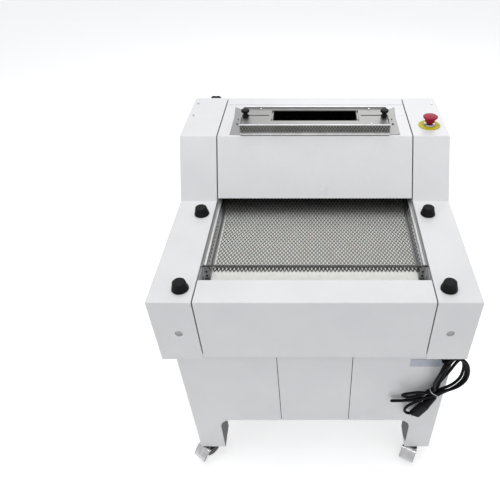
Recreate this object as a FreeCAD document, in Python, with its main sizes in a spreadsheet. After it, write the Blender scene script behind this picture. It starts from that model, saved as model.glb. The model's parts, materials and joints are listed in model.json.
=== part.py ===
import FreeCAD, Part
import math
import os
import re
import Sketcher
from FreeCAD import Vector

# Dough moulder: a white cabinet on castors with a feed hopper, two pairs of sheeting rolls,
# a belt with a wire mesh mat, a discharge tray and hand adjusters.
# Millimetres. X runs along the front, Y from the front to the operator side, Z up from the floor.
# Every piece is drawn with Y zero on the front face plane and placed so that the origin is at the middle.

DIMENSIONS = {
    # cabinet envelope
    "body_width": 720,
    "body_depth": 740,
    "control_reach": 66,
    "hood_rise": 136,
    "shoulder_height": 700,
    "cover_height": 188,
    "riser_gap": 9,
    "riser_run": 106,
    "side_cover_width": 97,
    "cover_gap": 3,
    "seat_gap": 0.3,
    "sheet": 2,
    "bend_radius": 3,
    # base
    "base_side_setback": 20,
    "base_setback": 30,
    "base_rear_setback": 6,
    "leg_clearance": 60,
    "leg_width": 72,
    "arch_height": 203,
    "arch_radius": 35,
    "centre_panel_width": 186,
    "seam_gap": 1.5,
    "deck_thickness": 6,
    "return_depth": 68,
    # castors
    "castor_plate_height": 86,
    "castor_plate_thickness": 4,
    "wheel_diameter": 58,
    "wheel_width": 20,
    "castor_trail": 20,
    "axle_radius": 5,
    "fork_sheet": 2.5,
    "fork_gap": 1.5,
    "fork_head_radius": 26,
    "fork_head_height": 8,
    "kingpin_radius": 6,
    "running_clearance": 0.06,
    "pedal_reach": 45,
    "pedal_inner": 31,
    "castor_angle_left": 232,
    "castor_angle_right": 242,
    # side frames
    "frame_thickness": 8,
    "frame_inset": 10,
    "frame_rear_inset": 3,
    "lug_thickness": 6,
    "lug_half": 16,
    # covers
    "front_cover_lift": 7,
    "front_cover_depth": 71,
    "front_cover_lip": 12,
    "end_flange": 24,
    "hood_lip": 6,
    "operator_strip": 52,
    "operator_drop": 120,
    "knob_inset": 67,
    "front_knob_y": 43,
    "rear_knob_gap": 59,
    "knob_base_radius": 19,
    "knob_top_radius": 14,
    "knob_height": 22,
    "stud_radius": 4,
    "stud_clearance": 0.5,
    "plug_hole_radius": 9,
    "plug_inset": 55,
    "plug_drop": 98,
    "plug_seat": 0.2,
    "screw_radius": 4,
    "screw_head": 2.2,
    "screw_inset": 14,
    "screw_front_inset": 125,
    "screw_rear_inset": 45,
    # hopper
    "hopper_side_gap": 60,
    "hopper_front_reach": 68,
    "hopper_rear_reach": 46,
    "hopper_height": 28,
    "hopper_recess": 4,
    "hopper_flange": 28,
    "throat_side_gap": 141,
    "throat_half_depth": 33,
    "slot_half_width": 3,
    "slot_side_gap": 134,
    "guide_knob_gap": 72,
    "guide_strip_half": 20,
    "guide_knob_radius": 11,
    "guide_knob_height": 20,
    "guide_clearance": 0.4,
    # sheeting rolls and belt
    "roll_headroom": 10,
    "roll_gap": 4,
    "roll_inset": 175,
    "roll_stack_gap": 6,
    "roll_over_belt": 21,
    "roll_side_gap": 14,
    "shaft_radius": 10,
    "bearing_radius": 20,
    "bearing_proud": 3,
    "block_half": 22,
    "block_travel": 6,
    "block_clearance": 0.3,
    "gear_teeth": 16,
    "gear_width": 14,
    "gear_offset": 4,
    "gear_step": 17,
    "belt_drop": 45,
    "belt_thickness": 2,
    "belt_side_gap": 15,
    "drum_diameter": 80,
    "front_drum_y": 80,
    "rear_drum_inset": 100,
    "bed_thickness": 4,
    "bed_margin": 8,
    "belt_clearance": 0.3,
    "return_gap": 20,
    "side_guide_gap": 11,
    "side_guide_reach": 86,
    "side_guide_drop": 1,
    "rod_radius": 4,
    "cross_rod_radius": 2,
    "cross_rod_y": 129,
    "hanger_radius": 5,
    "hanger_reach": 56,
    "mesh_side_gap": 23,
    "mesh_front_y": 149,
    "mesh_touch_gap": 54,
    "mesh_thickness": 5,
    "mesh_lift": 30,
    "board_side_gap": 20,
    "board_front_y": 70,
    "board_rear_inset": 50,
    "board_gap": 24,
    "board_thickness": 5,
    "board_lift": 12,
    "post_radius": 8,
    "post_front_y": 150,
    "post_rear_inset": 140,
    # discharge tray
    "tray_floor_gap": 13,
    "tray_top_drop": 20,
    "tray_side_gap": 2,
    "tray_lip": 20,
    "tray_axis_inset": 9,
    "tray_axis_rise": 9,
    "tray_pin_radius": 3,
    # drive
    "motor_drop": 82,
    "motor_inset": 140,
    "motor_radius": 55,
    "motor_length": 150,
    "gearbox_half": 50,
    "chain_width": 6,
    "chain_thickness": 5,
    "chain_side_gap": 24,
    "chain_step": 14,
    "chain_clearance": 0.4,
    "drum_sprocket": 40,
    "motor_sprocket": 20,
    "roll_sprocket": 30,
    "tail_sprocket": 28,
    # controls
    "stop_side_inset": 45,
    "stop_rear_inset": 187,
    "stop_ring_radius": 30,
    "stop_collar_radius": 14,
    "stop_head_radius": 20,
    "stop_head_height": 30,
    "stop_barrel_radius": 11,
    "stop_stem_radius": 8,
    "press_clearance": 0.3,
    "button_inset": 39,
    "start_rise": 2,
    "halt_drop": 53,
    "bezel_half": 19,
    "bezel_depth": 12,
    "button_radius": 11,
    "button_proud": 5,
    "handwheel_inset": 48,
    "handwheel_radius": 28,
    "handwheel_width": 28,
    "handwheel_shaft": 7,
    "indicator_half_width": 20,
    "indicator_height": 46,
    "indicator_depth": 36,
    "lever_inset": 58,
    "lever_drop": 124,
    "dial_radius": 37,
    "dial_depth": 38,
    "lever_shaft": 8,
    "lever_reach": 70,
    "lever_arm_radius": 6,
    "grip_radius": 10,
    "grip_length": 46,
    "lever_hub_radius": 16,
    "lever_hub_width": 22,
    "pressure_side_gap": 40,
    "pressure_drop": 43,
    "pressure_knob_radius": 30,
    "pressure_knob_width": 26,
    "pressure_knob_gap": 12,
    "cam_radius": 18,
    "cam_width": 16,
    "index_plate_radius": 36,
    # mains cord
    "cord_radius": 3.5,
    "gland_inset": 22,
    "gland_drop": 28,
    "gland_radius": 10,
    "gland_length": 15,
    "hank_thickness": 24,
    "hank_clearance": 1,
    "hank_shift": 0,
}

# places that follow the cabinet's size
PLACES = {
    "top_height": "(shoulder_height + hood_rise)",
    "cover_bottom": "(shoulder_height - cover_height)",
    "roll_front_y": "(roll_centre_y - (roll_diameter + roll_gap)/2)",
    "riser_start": "(roll_front_y - block_half - block_travel - riser_run - riser_gap)",
    "base_width": "(body_width - 2*base_side_setback)",
    "centre_half": "(body_width/2 - side_cover_width - cover_gap)",
    "knob_x": "(body_width/2 - knob_inset)",
    "rear_knob_y": "(riser_start - rear_knob_gap)",
    "plug_x": "(body_width/2 - plug_inset)",
    "plug_height": "(shoulder_height - plug_drop)",
    "screw_x": "(body_width/2 - screw_inset)",
    "screw_front_y": "(body_depth - screw_front_inset)",
    "screw_rear_y": "(body_depth - screw_rear_inset)",
    "roll_centre_y": "(body_depth - roll_inset)",
    "hopper_half_width": "(centre_half - hopper_side_gap)",
    "hopper_front_y": "(roll_centre_y - hopper_front_reach)",
    "hopper_rear_y": "(roll_centre_y + hopper_rear_reach)",
    "throat_half_width": "(centre_half - throat_side_gap)",
    "slot_inner_x": "(centre_half - slot_side_gap)",
    "guide_knob_x": "(centre_half - guide_knob_gap)",
    "roll_diameter": "((hood_rise + belt_drop - roll_over_belt - roll_stack_gap - roll_headroom)/2)",
    "roll_half_length": "(centre_half - roll_side_gap)",
    "belt_half_width": "(centre_half - belt_side_gap)",
    "rear_drum_y": "(body_depth - rear_drum_inset)",
    "side_guide_x": "(centre_half - side_guide_gap)",
    "side_guide_rear_y": "(riser_start + side_guide_reach)",
    "hanger_y": "(riser_start + hanger_reach)",
    "mesh_half_width": "(centre_half - mesh_side_gap)",
    "mesh_touch_y": "(riser_start - mesh_touch_gap)",
    "board_half_width": "(centre_half - board_side_gap)",
    "board_rear_y": "(body_depth - board_rear_inset)",
    "post_rear_y": "(body_depth - post_rear_inset)",
    "tray_bottom": "(cover_bottom + tray_floor_gap)",
    "tray_top": "(shoulder_height - tray_top_drop)",
    "motor_height": "(cover_bottom - motor_drop)",
    "motor_y": "(body_depth - motor_inset)",
    "chain_first_x": "(centre_half + chain_side_gap)",
    "stop_x": "(body_width/2 - stop_side_inset)",
    "stop_y": "(body_depth - stop_rear_inset)",
    "button_x": "(body_width/2 - button_inset)",
    "start_height": "(shoulder_height + start_rise)",
    "halt_height": "(shoulder_height - halt_drop)",
    "handwheel_x": "(body_width/2 - handwheel_inset)",
    "lever_x": "(body_width/2 - lever_inset)",
    "lever_height": "(shoulder_height - lever_drop)",
    "pressure_x": "(centre_half - pressure_side_gap)",
    "pressure_height": "(cover_bottom - pressure_drop)",
    "gland_x": "(base_width/2 - gland_inset)",
    "gland_height": "(cover_bottom - gland_drop)",
}

doc = FreeCAD.newDocument("dough_moulder")
sheet = doc.addObject("Spreadsheet::Sheet", "dims")
for row, (alias, size) in enumerate(DIMENSIONS.items(), 1):
    sheet.set(f"A{row}", alias)
    sheet.set(f"B{row}", str(size))
    sheet.setAlias(f"B{row}", alias)
doc.recompute()

NODES = []


def bind(text):
    """Spell an expression with its sheet names in full."""
    def spell(found):
        word = found.group(0)
        if word in PLACES:
            return bind(PLACES[word])
        return "dims." + word if word in DIMENSIONS else word

    return re.sub(r"[a-z][a-z0-9_]*", spell, str(text))


def value(text):
    """Work out an expression with the sheet's present numbers."""
    result = sheet.evalExpression(bind(text))
    return float(getattr(result, "Value", result))


# places used by many pieces
FRONT = "(-(body_depth + control_reach)/2)"
COVER_IN = "(body_width/2 - side_cover_width)"
CENTRE = "(centre_half)"
FRAME_IN = f"({CENTRE} + seat_gap)"
FRAME_OUT = f"({FRAME_IN} + frame_thickness)"
RISE = "(top_height - shoulder_height)"
TOP_START = "(riser_start + riser_run)"
SLOPE_LENGTH = f"(sqrt(riser_run^2 + {RISE}^2))"
SLANT = f"(({SLOPE_LENGTH} - riser_run)/{RISE})"
BASE_HALF = "(base_width/2)"
BASE_REAR = "(body_depth - base_rear_setback)"
BASE_TOP = "(cover_bottom + sheet)"
DECK_TOP = f"({BASE_TOP} + deck_thickness)"
LEG_X = f"({BASE_HALF} - leg_width/2)"
LEG_FRONT_Y = "(base_setback + leg_width/2)"
LEG_REAR_Y = f"({BASE_REAR} - leg_width/2)"
AXLE_Z = "(wheel_diameter/2)"
BELT_TOP = "(shoulder_height - belt_drop)"
DRUM_Z = f"({BELT_TOP} - belt_thickness - drum_diameter/2)"
LOWER_Z = f"({BELT_TOP} + roll_over_belt + roll_diameter/2)"
UPPER_Z = f"({LOWER_Z} + roll_diameter + roll_stack_gap)"
ROLL_STEP = "((roll_diameter + roll_gap)/2)"
ROLL_FRONT_Y = f"(roll_centre_y - {ROLL_STEP})"
ROLL_REAR_Y = f"(roll_centre_y + {ROLL_STEP})"
FRAME_TOP = "(shoulder_height - frame_inset)"
PLATE_TOP = "(top_height + hopper_height - hopper_recess)"
BELT_BOTTOM = f"({DRUM_Z} - drum_diameter/2 - belt_thickness)"
BOARD_TOP = f"({BELT_BOTTOM} - board_gap)"
TRAY_AXIS_Y = "(body_depth - tray_axis_inset)"
TRAY_AXIS_Z = "(tray_bottom + tray_axis_rise)"
TRAY_HALF = f"({CENTRE} - tray_side_gap)"


def new_body(name):
    return doc.addObject("PartDesign::Body", name)


def sketch(body, plane, loops=(), circles=(), offset="0"):
    """A sketch on one of the body's planes: corner loops and circles, all tied to the sheet."""
    support = [item for item in body.Origin.OriginFeatures if item.Role == plane][0]
    drawn = body.newObject("Sketcher::SketchObject", "outline")
    drawn.AttachmentSupport = [(support, "")]
    drawn.MapMode = "FlatFace"
    drawn.setExpression("AttachmentOffset.Base.z", bind(offset))

    def tie(kind, geometry, point, text, number):
        index = drawn.addConstraint(Sketcher.Constraint(kind, -1, 1, geometry, point, number))
        drawn.setExpression(f"Constraints[{index}]", bind(text))

    for loop in loops:
        first = drawn.GeometryCount
        count = len(loop)
        corners = [Vector(value(across), value(up), 0) for across, up in loop]
        for step in range(count):
            drawn.addGeometry(Part.LineSegment(corners[step], corners[(step + 1) % count]), False)
        for step in range(count):
            after = first + (step + 1) % count
            drawn.addConstraint(Sketcher.Constraint("Coincident", first + step, 2, after, 1))
        for step, (across, up) in enumerate(loop):
            tie("DistanceX", first + step, 1, across, corners[step].x)
            tie("DistanceY", first + step, 1, up, corners[step].y)
    for across, up, radius in circles:
        centre = Vector(value(across), value(up), 0)
        index = drawn.addGeometry(Part.Circle(centre, Vector(0, 0, 1), value(radius)), False)
        tie("DistanceX", index, 3, across, centre.x)
        tie("DistanceY", index, 3, up, centre.y)
        size = drawn.addConstraint(Sketcher.Constraint("Radius", index, value(radius)))
        drawn.setExpression(f"Constraints[{size}]", bind(radius))
    return drawn


def pad(body, drawn, length, flip=False):
    made = body.newObject("PartDesign::Pad", "pad")
    made.Profile = drawn
    made.setExpression("Length", bind(length))
    made.Reversed = flip
    doc.recompute()
    return made


def pocket(body, drawn, length, flip=False):
    before = body.Shape.Volume
    made = body.newObject("PartDesign::Pocket", "pocket")
    made.Profile = drawn
    made.setExpression("Length", bind(length))
    made.Reversed = flip
    doc.recompute()
    if not body.Shape.Volume < before - 0.01:
        raise RuntimeError(f"a cut in {body.Name} removed nothing")
    return made


def revolve(body, drawn, axis="V_Axis"):
    made = body.newObject("PartDesign::Revolution", "turned")
    made.Profile = drawn
    made.ReferenceAxis = (drawn, [axis])
    made.Angle = 360
    doc.recompute()
    return made


def fillet(body, radius, choose):
    """Round the body's edges that the test picks."""
    tip = body.Tip
    names = [f"Edge{index}" for index, edge in enumerate(tip.Shape.Edges, 1) if choose(edge)]
    if not names:
        raise RuntimeError(f"no edge to round in {body.Name}")
    made = body.newObject("PartDesign::Fillet", "bend")
    made.Base = (tip, names)
    made.setExpression("Radius", bind(radius))
    doc.recompute()
    return made


def at(edge, tolerance=0.05, **places):
    """True when the whole edge lies at the given x, y or z."""
    box = edge.BoundBox
    spans = {"x": (box.XMin, box.XMax), "y": (box.YMin, box.YMax), "z": (box.ZMin, box.ZMax)}
    return all(
        abs(limit - place) < tolerance for axis, place in places.items() for limit in spans[axis]
    )


def place(made, x="0", y="0", z="0", turn=None):
    """Set a piece down at a place measured from the front face plane."""
    if turn:
        made.Placement = FreeCAD.Placement(Vector(), FreeCAD.Rotation(turn[0], turn[1]))
    made.setExpression("Placement.Base.x", bind(x))
    made.setExpression("Placement.Base.y", bind(f"{FRONT} + {y}"))
    made.setExpression("Placement.Base.z", bind(z))


def node(made, label, **where):
    """Name a finished piece and set it in the shared frame."""
    place(made, **where)
    made.Label = label
    NODES.append(made)
    return made


def block(name, x0, x1, y0, y1, z0, z1):
    """A plain block between two corners."""
    made = doc.addObject("Part::Box", name)
    made.setExpression("Length", bind(f"({x1}) - ({x0})"))
    made.setExpression("Width", bind(f"({y1}) - ({y0})"))
    made.setExpression("Height", bind(f"({z1}) - ({z0})"))
    made.setExpression("Placement.Base.x", bind(x0))
    made.setExpression("Placement.Base.y", bind(y0))
    made.setExpression("Placement.Base.z", bind(z0))
    return made


TURNS = {
    "x": FreeCAD.Rotation(Vector(0, 1, 0), 90),
    "y": FreeCAD.Rotation(Vector(1, 0, 0), -90),
    "z": FreeCAD.Rotation(),
}


def rod(name, along, radius, length, x="0", y="0", z="0"):
    """A round bar that starts at a place and runs along an axis."""
    made = doc.addObject("Part::Cylinder", name)
    made.setExpression("Radius", bind(radius))
    made.setExpression("Height", bind(length))
    made.Placement = FreeCAD.Placement(Vector(), TURNS[along])
    made.setExpression("Placement.Base.x", bind(x))
    made.setExpression("Placement.Base.y", bind(y))
    made.setExpression("Placement.Base.z", bind(z))
    return made


def group(name, pieces):
    made = doc.addObject("Part::Compound", name)
    made.Links = pieces
    doc.recompute()
    return made


def fuse(name, pieces):
    made = doc.addObject("Part::MultiFuse", name)
    made.Shapes = pieces
    doc.recompute()
    return made


def cut(name, base, tool):
    made = doc.addObject("Part::Cut", name)
    made.Base = base
    made.Tool = tool
    doc.recompute()
    return made


def feature(name, shape):
    made = doc.addObject("Part::Feature", name)
    made.Shape = shape
    return made


def turned_bar(name, steps):
    """A bar turned about the X axis from (start, end, radius) steps."""
    body = new_body(name)
    outline = [(steps[0][0], "0")]
    for start, end, radius in steps:
        outline += [(start, radius), (end, radius)]
    outline.append((steps[-1][1], "0"))
    revolve(body, sketch(body, "XZ_Plane", [outline]), "H_Axis")
    return body


def toothed_disc(teeth, root, tip, bore, start, width):
    """A gear or sprocket blank about the X axis."""
    points = []
    pitch = 2*math.pi/teeth
    for tooth in range(teeth):
        base = tooth*pitch
        for share, radius in ((-0.27, root), (-0.13, tip), (0.13, tip), (0.27, root)):
            angle = base + share*pitch
            points.append(Vector(start, radius*math.cos(angle), radius*math.sin(angle)))
    points.append(points[0])
    blank = Part.Face(Part.makePolygon(points)).extrude(Vector(width, 0, 0))
    return blank.cut(Part.makeCylinder(bore, width, Vector(start, 0, 0), Vector(1, 0, 0)))


def loop_wire(first, first_radius, second, second_radius, start):
    """The closed line that wraps round two wheels; places are (y, z)."""
    dy = second[0] - first[0]
    dz = second[1] - first[1]
    span = math.hypot(dy, dz)
    heading = math.atan2(dz, dy)
    swing = math.acos((first_radius - second_radius)/span)

    def spot(centre, radius, angle):
        return Vector(start, centre[0] + radius*math.cos(angle), centre[1] + radius*math.sin(angle))

    up = heading + swing
    down = heading - swing
    first_up = spot(first, first_radius, up)
    first_down = spot(first, first_radius, down)
    second_up = spot(second, second_radius, up)
    second_down = spot(second, second_radius, down)
    first_back = spot(first, first_radius, heading + math.pi)
    second_ahead = spot(second, second_radius, heading)
    return Part.Wire([
        Part.Arc(first_up, first_back, first_down).toShape(),
        Part.LineSegment(first_down, second_down).toShape(),
        Part.Arc(second_down, second_ahead, second_up).toShape(),
        Part.LineSegment(second_up, first_up).toShape(),
    ])


def loop_band(first, first_radius, second, second_radius, thickness, start, width):
    """A belt or chain round two wheels."""
    outer = Part.Face(loop_wire(first, first_radius + thickness, second, second_radius + thickness, start))
    inner = Part.Face(loop_wire(first, first_radius, second, second_radius, start))
    return outer.cut(inner).extrude(Vector(width, 0, 0))


# base: two folded shells, each with castor plates, and the panels between them
def base_shell(name, label, side, rear_holes=()):
    """Front, side and rear walls of one half, the folded backs of its legs and its castor plates."""
    outer = f"{side}*{BASE_HALF}"
    skin = f"{side}*({BASE_HALF} - sheet)"
    seam = f"{side}*(centre_panel_width/2 + seam_gap)"
    leg_in = f"{side}*({BASE_HALF} - leg_width)"
    leg_edge = value(leg_in)
    arch_top = value("arch_height")
    wall_line = [
        (outer, "leg_clearance"), (leg_in, "leg_clearance"), (leg_in, "arch_height"), (seam, "arch_height"),
        (seam, BASE_TOP), (outer, BASE_TOP),
    ]
    pieces = []
    for wall_y, holes in (("base_setback + sheet", ()), (BASE_REAR, rear_holes)):
        wall = new_body(name + "_wall")
        pad(wall, sketch(wall, "XZ_Plane", [wall_line], holes, f"-({wall_y})"), "sheet")
        fillet(wall, "arch_radius", lambda edge: at(edge, x=leg_edge, z=arch_top))
        pieces.append(wall)
    side_front = "base_setback + leg_width"
    side_rear = f"{BASE_REAR} - leg_width"
    side_line = [
        ("base_setback + sheet", "leg_clearance"), (side_front, "leg_clearance"), (side_front, "arch_height"),
        (side_rear, "arch_height"), (side_rear, "leg_clearance"), (f"{BASE_REAR} - sheet", "leg_clearance"),
        (f"{BASE_REAR} - sheet", BASE_TOP), ("base_setback + sheet", BASE_TOP),
    ]
    wall = new_body(name + "_side")
    pad(wall, sketch(wall, "YZ_Plane", [side_line], offset=skin), "sheet", side < 0)
    side_edges = (value(side_front), value(side_rear))
    fillet(wall, "arch_radius", lambda edge: any(at(edge, y=side_y, z=arch_top) for side_y in side_edges))
    pieces.append(wall)
    return_in = f"{side}*({BASE_HALF} - leg_width + sheet)"
    low, high = sorted((leg_in, return_in), key=value)
    for near, far in (
        ("base_setback + sheet", "base_setback + sheet + return_depth"),
        (f"{BASE_REAR} - sheet - return_depth", f"{BASE_REAR} - sheet"),
    ):
        pieces.append(block(name + "_return", low, high, near, far, "leg_clearance", "arch_height - arch_radius"))
    bottom = "castor_plate_height"
    top = "castor_plate_height + castor_plate_thickness"
    left, right = sorted((skin, return_in), key=value)
    for place_y, hole in ((LEG_FRONT_Y, True), (LEG_REAR_Y, False)):
        near = f"{place_y} - leg_width/2 + sheet"
        far = f"{place_y} + leg_width/2 - sheet"
        plate = block(name + "_plate", left, right, near, far, bottom, top)
        if hole:
            pin_hole = rod(name + "_hole", "z", "kingpin_radius + running_clearance", f"({top}) - ({bottom})",
                           f"{side}*{LEG_X}", place_y, bottom)
            plate = cut(name + "_drilled", plate, pin_hole)
        pieces.append(plate)
    return node(group(name + "_set", pieces), label)


base_shell("base_left", "base_left_shell", -1,
           [("-pressure_x", "pressure_height", "post_radius + press_clearance")])
base_shell("base_right", "base_right_shell", 1)

panel_half = "centre_panel_width/2"
front_panel = block("front_panel", f"-{panel_half}", panel_half, "base_setback", "base_setback + sheet",
                    "arch_height", BASE_TOP)
rear_panel = block("rear_panel", f"-{panel_half}", panel_half, f"{BASE_REAR} - sheet", BASE_REAR,
                   "arch_height", BASE_TOP)
node(group("centre_panels", [front_panel, rear_panel]), "base_centre_panels")

# deck plate with the chain slot and the holes for the pressure posts
slot_x0 = "chain_first_x - 2*sheet"
slot_x1 = "chain_first_x + chain_width + 2*sheet"
deck_body = new_body("deck")
deck_plan = [
    (f"-{BASE_HALF}", "base_setback"), (BASE_HALF, "base_setback"),
    (BASE_HALF, BASE_REAR), (f"-{BASE_HALF}", BASE_REAR),
]
chain_slot = [
    (slot_x0, "motor_y - 2*motor_sprocket"), (slot_x1, "motor_y - 2*motor_sprocket"),
    (slot_x1, "rear_drum_y + drum_sprocket + chain_thickness"),
    (slot_x0, "rear_drum_y + drum_sprocket + chain_thickness"),
]
post_holes = [
    (f"{side}*pressure_x", post_y, "post_radius + press_clearance")
    for side in ("-1", "1") for post_y in ("post_front_y", "post_rear_y")
]
pad(deck_body, sketch(deck_body, "XY_Plane", [deck_plan, chain_slot], post_holes, BASE_TOP), "deck_thickness")
node(deck_body, "deck_plate")


# side frames: plates with bearing holes, sliding block windows, cover lugs and tray pin holes
def side_frame(name, label, side):
    body = new_body(name)
    flip = side < 0
    inner = f"{side}*{FRAME_IN}"
    rear = "body_depth - frame_rear_inset"
    top = "top_height - frame_inset"
    outline = [
        ("frame_inset", DECK_TOP), ("frame_inset", FRAME_TOP), ("riser_start + frame_inset", FRAME_TOP),
        (f"{TOP_START} + frame_inset", top), (rear, top), (rear, DECK_TOP),
    ]
    windows = []
    for height in (UPPER_Z, LOWER_Z):
        low = f"{height} - block_half - block_clearance"
        high = f"{height} + block_half + block_clearance"
        near = f"{ROLL_FRONT_Y} - block_half - block_travel - block_clearance"
        far = f"{ROLL_FRONT_Y} + block_half"
        windows.append([(near, low), (far, low), (far, high), (near, high)])
    seat = "bearing_radius + running_clearance"
    holes = [
        ("front_drum_y", DRUM_Z, seat), ("rear_drum_y", DRUM_Z, seat),
        (ROLL_REAR_Y, UPPER_Z, seat), (ROLL_REAR_Y, LOWER_Z, seat),
        (TRAY_AXIS_Y, TRAY_AXIS_Z, "tray_pin_radius + running_clearance"),
    ]
    pad(body, sketch(body, "YZ_Plane", [outline] + windows, holes, inner), "frame_thickness", flip)
    lug_top = "shoulder_height - sheet"
    for knob_y in ("front_knob_y", "rear_knob_y"):
        lug = [
            (f"{knob_y} - lug_half", f"{FRAME_TOP} - lug_thickness"),
            (f"{knob_y} + lug_half", f"{FRAME_TOP} - lug_thickness"),
            (f"{knob_y} + lug_half", lug_top), (f"{knob_y} - lug_half", lug_top),
        ]
        start = f"{side}*({FRAME_OUT} - sheet)"
        pad(body, sketch(body, "YZ_Plane", [lug], offset=start), f"knob_x + lug_half - {FRAME_OUT} + sheet", flip)
    studs = [(f"{side}*knob_x", knob_y, "stud_radius + stud_clearance") for knob_y in ("front_knob_y", "rear_knob_y")]
    pocket(body, sketch(body, "XY_Plane", circles=studs, offset=lug_top), f"{lug_top} - {FRAME_TOP} + 2*lug_thickness")
    return node(body, label)


side_frame("frame_left", "left_side_frame", -1)
side_frame("frame_right", "right_side_frame", 1)


# fixed bearings in the side frames
def ring(name, outer, inner, start, length, y, z):
    body = rod(name, "x", outer, length, start, y, z)
    hole = rod(name + "_bore", "x", inner, length, start, y, z)
    return cut(name + "_ring", body, hole)


bearing_length = "frame_thickness + 2*bearing_proud"
bearing_set = []
for start in (f"{FRAME_IN} - bearing_proud", f"-{FRAME_OUT} - bearing_proud"):
    for where_y, where_z in (
        ("front_drum_y", DRUM_Z), ("rear_drum_y", DRUM_Z), (ROLL_REAR_Y, UPPER_Z), (ROLL_REAR_Y, LOWER_Z),
    ):
        bearing_set.append(ring("bearing", "bearing_radius", "shaft_radius + running_clearance", start,
                                bearing_length, where_y, where_z))
node(group("bearings", bearing_set), "frame_bearings")


# side covers: folded boxes open below and on the inner side
def side_cover(name, label, side, top_holes=(), rear_holes=()):
    body = new_body(name)
    flip = side < 0
    inner = f"{side}*{COVER_IN}"
    outer_line = [
        ("0", "cover_bottom"), ("0", "shoulder_height"), ("riser_start", "shoulder_height"),
        (TOP_START, "top_height"), ("body_depth", "top_height"), ("body_depth", "cover_bottom"),
    ]
    inner_line = [
        ("sheet", "cover_bottom - sheet"), ("sheet", "shoulder_height - sheet"),
        (f"riser_start + sheet*{SLANT}", "shoulder_height - sheet"),
        (f"{TOP_START} + sheet*{SLANT}", "top_height - sheet"),
        ("body_depth - sheet", "top_height - sheet"), ("body_depth - sheet", "cover_bottom - sheet"),
    ]
    pad(body, sketch(body, "YZ_Plane", [outer_line], offset=inner), "side_cover_width", flip)
    pocket(body, sketch(body, "YZ_Plane", [inner_line], offset=inner), "side_cover_width - sheet", not flip)
    shoulder = value("shoulder_height")
    top = value("top_height")
    depth = value("body_depth")
    ridge = value(TOP_START)
    fillet(body, "bend_radius", lambda edge: at(edge, y=0, z=shoulder) or at(edge, y=ridge, z=top)
           or at(edge, y=depth, z=top))
    studs = [(f"{side}*knob_x", knob_y, "stud_radius + stud_clearance") for knob_y in ("front_knob_y", "rear_knob_y")]
    pocket(body, sketch(body, "XY_Plane", circles=studs, offset="shoulder_height"), "2*sheet")
    pocket(body, sketch(body, "XZ_Plane", circles=[(f"{side}*plug_x", "plug_height", "plug_hole_radius")]), "2*sheet")
    if top_holes:
        pocket(body, sketch(body, "XY_Plane", circles=top_holes, offset="top_height"), "2*sheet")
    if rear_holes:
        pocket(body, sketch(body, "XZ_Plane", circles=rear_holes, offset="-body_depth"), "2*sheet", True)
    return node(body, label)


side_cover("cover_left", "left_side_cover", -1, rear_holes=[
    ("-handwheel_x", UPPER_Z, "handwheel_shaft + press_clearance"),
    ("-lever_x", "lever_height", "lever_shaft + press_clearance"),
])
side_cover("cover_right", "right_side_cover", 1,
           top_holes=[("stop_x", "stop_y", "stop_barrel_radius + press_clearance")],
           rear_holes=[
               ("button_x", "start_height", "button_radius + 2*press_clearance"),
               ("button_x", "halt_height", "button_radius + 2*press_clearance"),
           ])


def folded(name, label, outline, flanges, bends, holes=()):
    """A folded sheet across the middle with end flanges beside the frames."""
    body = new_body(name)
    pad(body, sketch(body, "YZ_Plane", [outline], offset=f"-{CENTRE}"), f"2*{CENTRE}")
    fillet(body, "bend_radius", bends)
    for start in (f"-{CENTRE}", f"{CENTRE} - sheet"):
        for flange in flanges:
            pad(body, sketch(body, "YZ_Plane", [flange], offset=start), "sheet")
    for loop, height in holes:
        pocket(body, sketch(body, "XY_Plane", [loop], offset=height), "2*sheet")
    return node(body, label)


front_bottom = "cover_bottom + front_cover_lift"
lip_bottom = "shoulder_height - front_cover_lip"
shoulder_mm = value("shoulder_height")
top_mm = value("top_height")
depth_mm = value("body_depth")
ridge_mm = value(TOP_START)
folded("front_cover", "front_cover", [
    ("0", front_bottom), ("0", "shoulder_height"), ("front_cover_depth", "shoulder_height"),
    ("front_cover_depth", lip_bottom), ("front_cover_depth - sheet", lip_bottom),
    ("front_cover_depth - sheet", "shoulder_height - sheet"), ("sheet", "shoulder_height - sheet"),
    ("sheet", front_bottom),
], [[
    ("sheet/2", front_bottom), ("end_flange", front_bottom),
    ("end_flange", "shoulder_height - sheet/2"), ("sheet/2", "shoulder_height - sheet/2"),
]], lambda edge: at(edge, y=0, z=shoulder_mm))

hood_low = f"riser_start + hood_lip*riser_run/{RISE}"
hood_rear = "body_depth - operator_strip"
flange_low = "top_height - end_flange"
folded("hood", "hood", [
    (hood_low, "shoulder_height + hood_lip"), (TOP_START, "top_height"), (hood_rear, "top_height"),
    (hood_rear, "top_height - sheet"), (f"{TOP_START} + sheet*{SLANT}", "top_height - sheet"),
    (f"{hood_low} + sheet*{SLOPE_LENGTH}/{RISE}", "shoulder_height + hood_lip"),
], [[
    (f"{TOP_START} + sheet", "top_height - sheet/2"), (f"{TOP_START} + sheet", flange_low),
    (f"{hood_rear} - sheet", flange_low), (f"{hood_rear} - sheet", "top_height - sheet/2"),
]], lambda edge: at(edge, y=ridge_mm, z=top_mm), [([
    ("-throat_half_width - 3*sheet", "roll_centre_y - throat_half_depth - 2*sheet"),
    ("throat_half_width + 3*sheet", "roll_centre_y - throat_half_depth - 2*sheet"),
    ("throat_half_width + 3*sheet", "roll_centre_y + throat_half_depth + 2*sheet"),
    ("-throat_half_width - 3*sheet", "roll_centre_y + throat_half_depth + 2*sheet"),
], "top_height")])

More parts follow.
